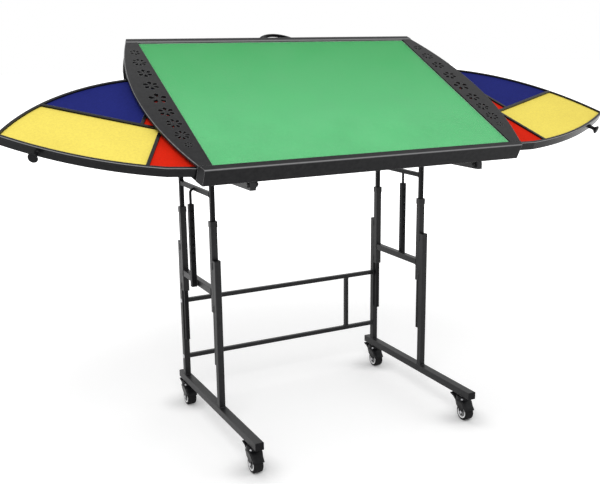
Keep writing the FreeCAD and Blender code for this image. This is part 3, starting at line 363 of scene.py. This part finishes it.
def hubFinish():
    # white nylon with faint stains, and painted shade in its recesses
    shader = Shader("whiteHub")
    stain = shader.noise(hubWhite["patch"], detail=4.0)
    # painted shade: ambient occlusion darkens the white to near black in the hub's recesses
    openness = shader.add("ShaderNodeAmbientOcclusion", {"samples": hubWhite["samples"]},
                          {"Distance": hubWhite["recess"]}, output="AO")
    body = shader.blend(stain.power(hubWhite["stainFade"]), hubWhite["clean"], hubWhite["grey"])
    shader.set(Base_Color=shader.blend(openness.power(hubWhite["dustAndShadeFade"]), hubWhite["dustAndShade"], body),
               Roughness=shader.between(stain, hubWhite["smooth"], hubWhite["dull"]),
               Normal=shader.relief(stain, hubWhite["depth"], hubWhite["relief"],
                                    hubWhite["rounding"]))
    return shader.material


def feltFinish(name):
    # pressed fibres: a cloudy nap, small tufts and fine crossed hairs
    nap = feltNap
    colour, contrast = feltColours[name]
    shader = Shader(name)
    upward = shader.noise(nap["fibre"], where=shader.place((1, nap["thin"], 1), nap["upwardTurn"]))
    sideways = shader.noise(nap["fibre"], where=shader.place((nap["thin"], 1, 1), nap["sidewaysTurn"]))
    tufts = shader.noise(nap["tuft"])
    cloud = shader.noise(nap["cloud"])
    hairs = upward.most(sideways)
    level = hairs * nap["hairShare"] + tufts * nap["tuftShare"] + cloud * nap["cloudShare"]
    low = tuple(channel * (1 - nap["darker"] * contrast) for channel in colour) + (1,)
    high = tuple(min(channel * (1 + nap["paler"] * contrast), 1) for channel in colour) + (1,)
    face = shader.blend((level - nap["faceFrom"]) * nap["faceGain"], low, high)
    if name == "greenFelt":      # painted shade: the green darkens up the slope towards the board's back and is paler towards the sitter
        y, z = shader.split(shader.place())[1:]
        upSlope = (y - hinge.y) * math.cos(tilt) + (z - hinge.z) * math.sin(tilt)
        back = shader.add("ShaderNodeMapRange", inputs={
            "Value": upSlope + cloud * paintedSlopeShade["wander"],
            "From Min": paintedSlopeShade["from"], "From Max": paintedSlopeShade["to"]})
        face = shader.blend(back, face, paintedSlopeShade["shadedGreen"])
    shader.set(Base_Color=face,
               Roughness=shader.between(hairs, nap["smooth"], nap["dull"]),
               Normal=shader.relief(level, nap["depth"], nap["relief"]),
               Sheen_Weight=nap["sheen"], Sheen_Roughness=nap["sheenRough"],
               Sheen_Tint=colour + (1,), Specular_IOR_Level=nap["gloss"])
    return shader.material


def clearFinish():
    # acrylic sheet: almost nothing on its faces, a pale line where light leaves its sawn edges
    shader = Shader("clearSheet")
    along, out = shader.split(shader.add("ShaderNodeTexCoord", output="Normal"))[1:]
    edge = (out * math.cos(tilt) - along * math.sin(tilt)).size() < clear["edgeLine"]
    scuff = shader.noise(clear["scuffSize"], detail=5.0)
    face = scuff * clear["scuff"] + clear["face"]
    shader.set(Base_Color=clear["tint"],
               Roughness=shader.between(scuff, clear["smooth"], clear["dull"]),
               Alpha=edge * clear["edge"] + (1 - edge) * face)
    return shader.material


def dressFrame():
    finishes = {      # by the record's material slot
        "black_steel": blackFinish("powderCoat", powderCoat),
        "zinc": zincFinish(),
        "black_plastic": blackFinish("mouldedPlastic", mouldedPlastic),
        "tyre_rubber": rubberFinish(),
        "white_hub": hubFinish(),
        "black_board": blackFinish("blackFoil", blackFoil),
        "green_felt": feltFinish("greenFelt"),
        "yellow_felt": feltFinish("yellowFelt"),
        "blue_felt": feltFinish("blueFelt"),
        "red_felt": feltFinish("redFelt"),
        "clear_sheet": clearFinish(),
    }
    groups = (      # nodes that look unlike the rest of their slot
        (blackFinish("trayPlastic", trayPlastic), ("drawer_tray_left", "drawer_tray_right")),
        (blackFinish("railFoil", railFoil), ("front_rail", "back_rail")),
        (blackFinish("blackBacking", blackBacking), ("bottom_panel",)),
        (finishes["black_steel"], ("sleeve_collars",)),
        (blackFinish("liftCoat", liftCoat), ("lift_posts_left", "lift_posts_right", "lift_crossbars",
                                             "strut_rods", "strut_tubes", "tilt_brackets")),
    )
    own = {node: finish for finish, members in groups for node in members}
    for part in frame["record"]["subparts"]:
        materials = nodes[part["node"]].data.materials
        materials.clear()
        materials.append(own.get(part["node"], finishes[part["material_slot"]]))
    return finishes


def buildStudio():
    world = bpy.data.worlds.new("studioWorld")
    bpy.context.scene.world = world
    world.use_nodes = True
    room = NodeTree(world.node_tree)
    background = world.node_tree.nodes["Background"]
    room.feed(background.inputs["Color"], (1, 1, 1, 1))
    room.feed(background.inputs["Strength"],
              room.seen() * (1 - studio["worldDiffuse"]) + studio["worldDiffuse"])

    bpy.ops.mesh.primitive_plane_add(size=studio["floorSize"], location=(0, 0, -studio["floorDrop"]))
    floor = bpy.context.object
    floor.name = "floor"
    shader = Shader("floorPaper")
    ground = shader.place()
    away = shader.add("ShaderNodeVectorMath", {"operation": "LENGTH"}, {"Vector": ground},
                      output="Value")
    glow = shader.add("ShaderNodeMapRange", {"interpolation_type": "SMOOTHSTEP"}, {
        "Value": away, "From Min": studio["glowNear"], "From Max": studio["glowFar"],
        "To Min": studio["floorGlow"], "To Max": 1.0})
    # painted shadow: the floor's glow fades to none close to each wheel
    across, along = shader.split(ground)[:2]
    across = across.size() - studio["wheelAcross"]
    along = along.size() - studio["wheelAlong"]
    fromWheel = (across * across + along * along).power(0.5)
    glow = glow * shader.add("ShaderNodeMapRange", {"interpolation_type": "SMOOTHSTEP"}, {
        "Value": fromWheel, "From Max": studio["wheelShade"]})
    shader.set(Base_Color=studio["floorColour"], Roughness=studio["floorRough"],
               Specular_IOR_Level=studio["floorGloss"],
               Emission_Color=shader.blend(glow * shader.seen(), (0, 0, 0, 1), (1, 1, 1, 1)),
               Emission_Strength=1.0)
    floor.data.materials.append(shader.material)
    for lamp in ("key", "fill", "rim"):
        addLamp(lamp)
    bpy.context.scene.view_settings.view_transform = "Standard"


# making and placing new pieces

board = {"hingeAlong": -0.014, "hingeBelow": -0.0547, "depth": 0.0407}
sharpFrom = 38      # degrees between two faces that show an edge


def onBoard(x, along, out):      # across the board, up its slope and off its felt
    along -= board["hingeAlong"]
    out -= board["hingeBelow"]
    return Vector((x, hinge.y + along * math.cos(tilt) - out * math.sin(tilt),
                   hinge.z + along * math.sin(tilt) + out * math.cos(tilt)))


def facing(point, direction):      # local Z runs along the direction
    turn = Vector(direction).to_track_quat("Z", "Y").to_matrix().to_4x4()
    return Matrix.Translation(point) @ turn


def addPiece(name, bm, finish, body):
    bmesh.ops.recalc_face_normals(bm, faces=bm.faces)
    mesh = bpy.data.meshes.new(name)
    bm.to_mesh(mesh)
    bm.free()
    piece = bpy.data.objects.new(name, mesh)
    bpy.context.scene.collection.objects.link(piece)
    mesh.materials.append(finish)
    mesh.shade_smooth()
    mesh.set_sharp_from_angle(angle=math.radians(sharpFrom))
    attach(piece, body)
    return piece


def joinRings(bm, rings, closed=False):      # a ring of one point is the tip of a fan
    pairs = list(zip(rings, rings[1:]))
    if closed:
        pairs.append((rings[-1], rings[0]))
    for low, high in pairs:
        count = max(len(low), len(high))
        for k in range(count):
            after = (k + 1) % count
            if len(low) == 1:
                corners = (low[0], high[after], high[k])
            elif len(high) == 1:
                corners = (low[k], low[after], high[0])
            else:
                corners = (low[k], low[after], high[after], high[k])
            bm.faces.new(corners)


def lathe(bm, place, profile, steps):      # radius and height of each ring, about local Z
    rings = []
    for radius, height in profile:
        turns = steps if radius > 0 else 1
        rings.append([bm.verts.new(place @ Vector((
            radius * math.cos(2 * math.pi * k / steps), radius * math.sin(2 * math.pi * k / steps),
            height))) for k in range(turns)])
    joinRings(bm, rings)


# weld beads where tubes meet

welds = {
    # places and widths of the tubes
    "legX": 0.352, "frontPost": -0.032, "backPost": 0.261, "post": 0.019, "footTop": 0.097,
    "sleeveBottom": 0.381, "postTop": 0.535, "crossbar": 0.440,
    "strutY": 0.1145, "strut": 0.016, "strutBottom": 0.431,
    "lift": 0.013, "liftCrossbar": 0.722, "barBottom": 0.777,
    "rail": 0.013, "railUpright": 0.238, "lowerRail": 0.157, "upperRail": 0.343,
    # the bead itself
    "radius": 0.0017, "sides": 8, "step": 0.0011,
    "ripple": 0.22, "beat": 3,      # a puddle swells once in three steps
    "taper": 0.35,      # each step's share of full thickness at a seam's ends
    "corner": 0.0016, "cornerCut": 0.3,
    "footSeam": (0.002, 0.024), "headSeam": (0.026, 0.004),      # from either end of the overlap
    "strutGap": 0.001,
}


def weldBead(bm, points, normal, closed):
    # a fillet of overlapping puddles along the points
    normal = Vector(normal)
    rings = []
    for k, point in enumerate(points):
        before = points[k - 1] if closed or k else point
        after = points[(k + 1) % len(points)] if closed or k + 1 < len(points) else point
        tangent = (after - before).normalized()
        side = tangent.cross(normal).normalized()
        puddle = 1 + welds["ripple"] * (0.5 - (k % welds["beat"]) / (welds["beat"] - 1))
        fromEnd = min(k, len(points) - 1 - k)
        end = 1 if closed else min(1, welds["taper"] + welds["taper"] * fromEnd)
        radius = welds["radius"] * puddle * end
        turns = [2 * math.pi * turn / welds["sides"] for turn in range(welds["sides"])]
        rings.append([bm.verts.new(point + radius * (side * math.cos(turn) + normal * math.sin(turn)))
                      for turn in turns])
    joinRings(bm, rings, closed)
    if not closed:
        bm.faces.new(rings[0])
        bm.faces.new(rings[-1])


def weldLoop(bm, centre, axis, width):
    # round a square tube of that width that ends on a face
    place = facing(centre, axis)
    half, corner = width / 2, welds["corner"]
    cut = half - corner * welds["cornerCut"]
    run = int((width - 2 * corner) / welds["step"])
    points = []
    for turn in range(4):
        quarter = Matrix.Rotation(turn * math.pi / 2, 4, "Z")
        flat = [Vector((half, -half + corner + (width - 2 * corner) * k / run, 0))
                for k in range(run + 1)]
        flat.append(Vector((cut, cut, 0)))
        points += [place @ (quarter @ point) for point in flat]
    weldBead(bm, points, axis, True)


def weldSeam(bm, start, end, normal):
    start, end = Vector(start), Vector(end)
    count = int((end - start).length / welds["step"])
    weldBead(bm, [start.lerp(end, k / count) for k in range(count + 1)], normal, False)


def addWelds(finish):
    w = welds
    standing, lifting = bmesh.new(), bmesh.new()
    frontSleeve, backSleeve = w["frontPost"] + w["post"], w["backPost"] - w["post"]
    seams = ((w["sleeveBottom"] + w["footSeam"][0], w["sleeveBottom"] + w["footSeam"][1]),
             (w["postTop"] - w["headSeam"][0], w["postTop"] - w["headSeam"][1]))
    for side in (-1, 1):
        x = side * w["legX"]
        for post in (w["frontPost"], w["backPost"]):
            weldLoop(standing, (x, post, w["footTop"]), (0, 0, 1), w["post"])
        for sleeve, toward in ((frontSleeve, 1), (backSleeve, -1)):
            face = sleeve + toward * w["post"] / 2
            weldLoop(standing, (x, face, w["crossbar"]), (0, toward, 0), w["post"])
            weldLoop(lifting, (x, sleeve + toward * w["lift"] / 2, w["liftCrossbar"]),
                     (0, toward, 0), w["lift"])
            weldLoop(lifting, (x, sleeve, w["barBottom"]), (0, 0, -1), w["lift"])
            seam = sleeve - toward * w["post"] / 2
            for edge in (-1, 1):
                for low, high in seams:
                    weldSeam(standing, (x + edge * w["post"] / 2, seam, low),
                             (x + edge * w["post"] / 2, seam, high), (edge, 0, 0))
        face = side * (w["legX"] + w["post"] / 2)
        for edge in (-1, 1):
            y = w["strutY"] + edge * w["strut"] / 2
            weldSeam(standing, (face, y, w["strutBottom"] + w["strutGap"]),
                     (face, y, w["crossbar"] + w["post"] / 2 - w["strutGap"]), (0, edge, 0))
        upright = side * w["railUpright"]
        for height, up in ((w["lowerRail"] + w["rail"] / 2, 1), (w["upperRail"] - w["rail"] / 2, -1)):
            weldLoop(standing, (upright, w["backPost"], height), (0, 0, up), w["rail"])
    addPiece("standWelds", standing, finish, "base_frame")
    addPiece("liftWelds", lifting, finish, "lift_frame")


# clear cover, a sawn and polished sheet

cover = {"half": (0.4565, 0.316), "middle": 0.3175, "corner": 0.006, "cornerSteps": 8,
         "top": 0.002, "under": 0.0003, "polish": 0.0003}


def roundedRectangle(halfX, halfY, corner, steps):
    points = []
    for turn, (x, y) in enumerate(((1, 1), (-1, 1), (-1, -1), (1, -1))):
        for k in range(steps + 1):
            angle = math.pi / 2 * (turn + k / steps)
            points.append((x * (halfX - corner) + corner * math.cos(angle),
                           y * (halfY - corner) + corner * math.sin(angle)))
    return points


def addCover(finish):
    bm = bmesh.new()
    rings = []
    for inset, out in ((cover["polish"], cover["under"]), (0, cover["under"] + cover["polish"]),
                       (0, cover["top"] - cover["polish"]), (cover["polish"], cover["top"])):
        outline = roundedRectangle(cover["half"][0] - inset, cover["half"][1] - inset,
                                   cover["corner"] - inset, cover["cornerSteps"])
        rings.append([bm.verts.new(onBoard(x, y + cover["middle"], out)) for x, y in outline])
    joinRings(bm, rings)
    bm.faces.new(rings[0])
    bm.faces.new(rings[-1])
    sheet = addPiece("coverSheet", bm, finish, "cover")
    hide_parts("cover_sheet")


# screws

screws = {"radius": 0.0042, "height": 0.0020, "rings": 10, "steps": 40,
          "recess": 0.0011, "recessFall": 0.6, "arm": 0.55, "slot": 0.15,      # of the cross
          "least": 0.00002}
boardScrews = {
    "bracketX": 0.3317, "bracketAlong": (0.018, 0.098, 0.178), "flange": 0.003,
    "edgeAcross": (0.10, 0.25, 0.40), "edgeAlong": (0.011, 0.624), "spineAlong": (0.10, 0.32, 0.54),
    "handleX": 0.0705, "handleAlong": 0.662, "handleOut": -0.0045,
    # shares of a screw's radius and height
    "bracketHead": (1, 1), "panelHead": (0.9, 0.5), "handleHead": (0.8, 0.9),
}


def screwHead(bm, place, head):
    # a domed head with a cross recess, pressed as one height field
    radius, height = head[0] * screws["radius"], head[1] * screws["height"]
    rings = []
    for ring in range(screws["rings"] + 1):
        share = ring / screws["rings"]
        corners = []
        for k in range(screws["steps"] if ring else 1):
            angle = 2 * math.pi * k / screws["steps"]
            x, y = share * math.cos(angle), share * math.sin(angle)
            along, aside = max(abs(x), abs(y)), min(abs(x), abs(y))
            lift = height * (1 - share ** 2) ** 0.5
            if along < screws["arm"] and aside < screws["slot"]:
                lift -= screws["recess"] * (1 - along * screws["recessFall"])
            corner = Vector((x * radius, y * radius, max(lift, screws["least"])))
            corners.append(bm.verts.new(place @ corner))
        rings.append(corners)
    joinRings(bm, rings)


def addScrews(finish):
    bm = bmesh.new()
    s, under = boardScrews, -board["depth"]
    down = -boardNormal
    back = Vector((0, math.cos(tilt), math.sin(tilt)))
    for side in (-1, 1):
        for along in s["bracketAlong"]:
            place = facing(onBoard(side * s["bracketX"], along, under - s["flange"]), down)
            screwHead(bm, place, s["bracketHead"])
        for across in s["edgeAcross"]:
            for along in s["edgeAlong"]:
                screwHead(bm, facing(onBoard(side * across, along, under), down), s["panelHead"])
        place = facing(onBoard(side * s["handleX"], s["handleAlong"], s["handleOut"]), back)
        screwHead(bm, place, s["handleHead"])
    for along in s["spineAlong"]:
        screwHead(bm, facing(onBoard(0, along, under), down), s["panelHead"])
    addPiece("boardScrews", bm, finish, "board")


# push-in caps over the lock tubes' holes that aren't in use

strutCaps = {"x": 0.3775, "y": 0.1145, "top": 0.675, "pitch": 0.025, "first": 0.7, "count": 8,
             "depth": 0.0012, "radius": 0.0031, "rim": 0.0041, "rimEdge": 0.0001, "proud": 0.0006,
             "dome": ((0.9, 0.7), (0.6, 1), (0, 1)), "steps": 24}      # shares of rim and proud


def addStrutCaps(finish):
    c = strutCaps
    profile = [(0, -c["depth"]), (c["radius"], -c["depth"]), (c["radius"], 0), (c["rim"], c["rimEdge"])]
    profile += [(c["rim"] * out, c["proud"] * up) for out, up in c["dome"]]
    bm = bmesh.new()
    for side in (-1, 1):
        for k in range(c["count"]):
            height = c["top"] - c["pitch"] * (k + c["first"])
            lathe(bm, facing((side * c["x"], c["y"], height), (side, 0, 0)), profile, c["steps"])
    addPiece("strutHoleCaps", bm, finish, "base_frame")


# casters

caster = {
    "wheelY": -0.014, "axleZ": 0.025, "axleRadius": 0.003,      # from the stem's middle, on the floor
    "halfWidth": 0.0166, "crown": 0.0026, "narrowing": 0.016,
    "corner": 0.0034, "cornerSteps": 4, "crownRow": 0.4, "sheet": 0.0017,
    "headZ": 0.062, "headRadius": 0.019, "headHeight": 0.010, "headSteps": 48, "hole": 0.0056,
    "lip": 0.001, "lipRadius": 0.82, "foot": 0.9, "footEdge": 0.0004,      # under the lower cup
    "cups": ((1, 0.34), (0.955, 0.40), (0.955, 0.48), (1, 0.54), (1, 0.80), (0.97, 0.93), (0.9, 1)),
    "pinY": 0.012, "pinZ": 0.054, "lockZ": 0.0034,
    "axleRivet": 1.0, "pinRivet": 0.6, "lockRivet": 0.62, "pinSteps": 24,
    "nutZ": 0.0722, "nutRadius": 0.0075, "nutHeight": 0.0028, "nutBore": 0.0052,
    "nutEdge": 0.0006, "nutFace": 0.9, "nutSides": 6,
}
# the hood from its front lip over the tyre to the back of the swivel head: degrees round the
# axle, millimetres from it, and how far it has widened towards the crown
hoodOuter = [(158, 28.0, 0), (150, 28.0, 0), (142, 28.0, 0), (134, 28.1, 0.05), (126, 28.5, 0.12),
             (119, 29.4, 0.25), (113, 31.0, 0.45), (107, 33.4, 0.70), (101, 35.8, 0.92),
             (95, 36.9, 1), (86, 37.1, 1), (77, 38.0, 1), (68, 40.0, 1), (60, 42.7, 0.95),
             (54, 45.6, 0.85)]
# where each cheek ends below those points, in millimetres behind and above the axle
cheekInner = [(-18.4, 7.4), (-17.2, 9.6), (-15.6, 11.8), (-13.6, 13.6), (-11.6, 14.6),
              (-9.6, 13.4), (-8.2, 9.0), (-7.2, 3.4), (-6.8, -1.4), (-5.0, -5.2), (-0.6, -7.0),
              (4.2, -5.7), (7.6, -0.4), (13.0, 8.6), (24.0, 17.6)]
wallShares = (1.0, 0.82, 0.66, 0.5, 0.36, 0.23, 0.11)      # rows of a cheek, from its lower end up
# radius and height of each ring of a rivet head of size 1
rivetProfile = [(0, -0.0004), (0.0048, -0.0004), (0.0048, 0.0005), (0.0036, 0.0006),
                (0.0033, 0.0014), (0.0020, 0.0019), (0, 0.0020)]


def casterHood(place):
    # pressed sheet over the tyre: cheeks that run down to the axle under a wider crown
    bm = bmesh.new()
    axle = Vector((0, caster["wheelY"], caster["axleZ"]))
    corner, steps = caster["corner"], caster["cornerSteps"]
    rows = []
    for (angle, radius, widening), (innerY, innerZ) in zip(hoodOuter, cheekInner):
        angle = math.radians(angle)
        outer = Vector((0, math.cos(angle), math.sin(angle))) * (radius / 1000)
        toAxle = Vector((0, innerY / 1000, innerZ / 1000)) - outer
        wall, inward = toAxle.length, toAxle.normalized()
        depths = [corner + (wall - corner) * share for share in wallShares] + [corner]
        row = [(caster["halfWidth"] + caster["crown"] * widening
                * max(0, 1 - (depth - corner) / caster["narrowing"]), outer + inward * depth)
               for depth in depths]
        edge = row[-1][0]
        for k in range(1, steps + 1):
            turn = math.pi / 2 * k / steps
            row.append((edge - corner + corner * math.cos(turn),
                        outer + inward * corner * (1 - math.sin(turn))))
        row.append((edge * caster["crownRow"], outer))
        both = row + [(-x, point) for x, point in reversed(row)]
        rows.append([bm.verts.new(place @ (axle + point + Vector((x, 0, 0)))) for x, point in both])
    for low, high in zip(rows, rows[1:]):
        for k in range(len(low) - 1):
            bm.faces.new((low[k], low[k + 1], high[k + 1], high[k]))
    return bm


def swivelHead(place):
    # two pressed cups with the ball race between them
    radius, low, height = caster["headRadius"], caster["headZ"], caster["headHeight"]
    start = (caster["hole"], low - caster["lip"])
    profile = [start, (radius * caster["lipRadius"], low - caster["lip"]),
               (radius * caster["foot"], low), (radius, low + caster["footEdge"])]
    profile += [(radius * out, low + height * up) for out, up in caster["cups"]]
    profile += [(caster["hole"], low + height), start]
    bm = bmesh.new()
    lathe(bm, place, profile, caster["headSteps"])
    return bm


def rivetHead(bm, place, size):
    lathe(bm, place, [(radius * size, height) for radius, height in rivetProfile], caster["pinSteps"])


def casterPins(place):
    # the axle with its rivet heads, the brake pin's heads and the locks of the swivel head
    bm = bmesh.new()
    half, y, z = caster["halfWidth"], caster["wheelY"], caster["axleZ"]
    for side in (-1, 1):
        rivetHead(bm, facing(place @ Vector((side * half, y, z)), (side, 0, 0)), caster["axleRivet"])
        rivetHead(bm, facing(place @ Vector((side * half, caster["pinY"], caster["pinZ"])),
                             (side, 0, 0)), caster["pinRivet"])
        outward = Vector((side, -1, 0)).normalized()
        rim = Vector((0, 0, caster["headZ"] + caster["lockZ"])) + outward * caster["headRadius"]
        rivetHead(bm, facing(place @ rim, outward), caster["lockRivet"])
    lathe(bm, facing(place @ Vector((-half, y, z)), (1, 0, 0)),
          [(0, 0), (caster["axleRadius"], 0), (caster["axleRadius"], 2 * half), (0, 2 * half)],
          caster["pinSteps"])
    return bm


def stemNut(bm, place):
    radius, height = caster["nutRadius"], caster["nutHeight"]
    bore, face, edge = caster["nutBore"], radius * caster["nutFace"], caster["nutEdge"]
    lathe(bm, place @ Matrix.Translation((0, 0, caster["nutZ"])), [
        (bore, 0), (face, 0), (radius, edge), (radius, height - edge), (face, height),
        (bore, height)], caster["nutSides"])


# wheels: a solid tyre on a dished hub, each drawn from its outer side to its middle and mirrored

wheel = {"radius": 0.025, "half": 0.0140, "steps": 72,
         "round": 0.0042, "roundSteps": 6, "bead": 0.0010, "beadDepth": 0.0008,
         "mouldLine": 0.00025, "mouldHalf": 0.0005, "mouldEdge": 0.0007,
         "rim": 0.0185, "ring": 0.0140, "dish": 0.0070, "boss": 0.0075, "bore": 0.0032,
         "soft": 0.0006, "bossProud": 0.0004, "ringProud": 0.0002,
         # how far each point lies outside the boss's or the ring's radius, and inside the hub's
         # outer face or the web's
         "bossTop": ((-0.0015, -0.0004), (-0.0005, 0.0002)),
         "bossFoot": ((0.0008, -0.0003), (0.0018, 0)),
         "ringFoot": ((-0.0030, 0), (-0.0015, -0.0006))}


def mirrored(side):
    return side + [(radius, -x) for radius, x in reversed(side)] + [side[0]]


def tyre(place):
    half, radius, turn, bead = wheel["half"], wheel["radius"], wheel["round"], wheel["bead"]
    side = [(wheel["rim"], -half + wheel["beadDepth"]), (wheel["rim"] + bead, -half),
            (radius - turn - bead, -half)]
    for k in range(wheel["roundSteps"] + 1):
        angle = math.pi / 2 * k / wheel["roundSteps"]
        side.append((radius - turn + turn * math.sin(angle), -half + turn - turn * math.cos(angle)))
    side += [(radius, -wheel["mouldEdge"]), (radius - wheel["mouldLine"], -wheel["mouldHalf"])]
    bm = bmesh.new()
    lathe(bm, place, mirrored(side), wheel["steps"])
    return bm


def hub(place):
    half, web = wheel["half"], wheel["half"] - wheel["dish"]
    boss, ring, rim, soft = wheel["boss"], wheel["ring"], wheel["rim"], wheel["soft"]
    face = -half - wheel["ringProud"]
    side = [(wheel["bore"], -half - wheel["bossProud"])]
    for radius, level, curve in ((boss, half, "bossTop"), (boss, web, "bossFoot"),
                                 (ring, web, "ringFoot")):
        side += [(radius + out, -level + inward) for out, inward in wheel[curve]]
    side += [(ring, -half + soft), (ring + soft, face), (rim - soft, face), (rim, -half + soft)]
    bm = bmesh.new()
    lathe(bm, place, mirrored(side), wheel["steps"])
    return bm


def addCasters(finishes):
    coat = blackFinish("forkCoat", forkCoat)
    nuts = bmesh.new()
    for name in ("front_left", "front_right", "back_left", "back_right"):
        swivel, roll = "swivel_" + name, "wheel_" + name
        x, y = joints[swivel]["pos_m"][:2]
        place = Matrix.Translation((x, y, 0))
        hood = addPiece("casterHood_" + name, casterHood(place), coat, swivel)
        thick = hood.modifiers.new("sheet", "SOLIDIFY")
        thick.thickness = caster["sheet"]
        thick.offset = -1
        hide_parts("caster_fork_" + name)
        addPiece("casterHead_" + name, swivelHead(place), coat, swivel)
        addPiece("casterPins_" + name, casterPins(place), finishes["zinc"], swivel)
        axle = facing(place @ Vector((0, caster["wheelY"], caster["axleZ"])), (1, 0, 0))
        tread = addPiece("casterTyre_" + name, tyre(axle), finishes["tyre_rubber"], roll)
        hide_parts("caster_tyre_" + name)
        middle = addPiece("casterHub_" + name, hub(axle), finishes["white_hub"], roll)
        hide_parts("caster_hub_" + name)
        stemNut(nuts, place)
    addPiece("stemNuts", nuts, finishes["zinc"], "base_frame")


addCamera()
buildStudio()
print("camera and studio ready")
finishes = dressFrame()
print("finishes on the frame")
addWelds(finishes["black_steel"])
print("weld beads run")
addCover(finishes["clear_sheet"])
print("cover laid on")
addScrews(finishes["zinc"])
addStrutCaps(finishes["black_plastic"])
print("screws and caps in")
addCasters(finishes)
print("casters built")
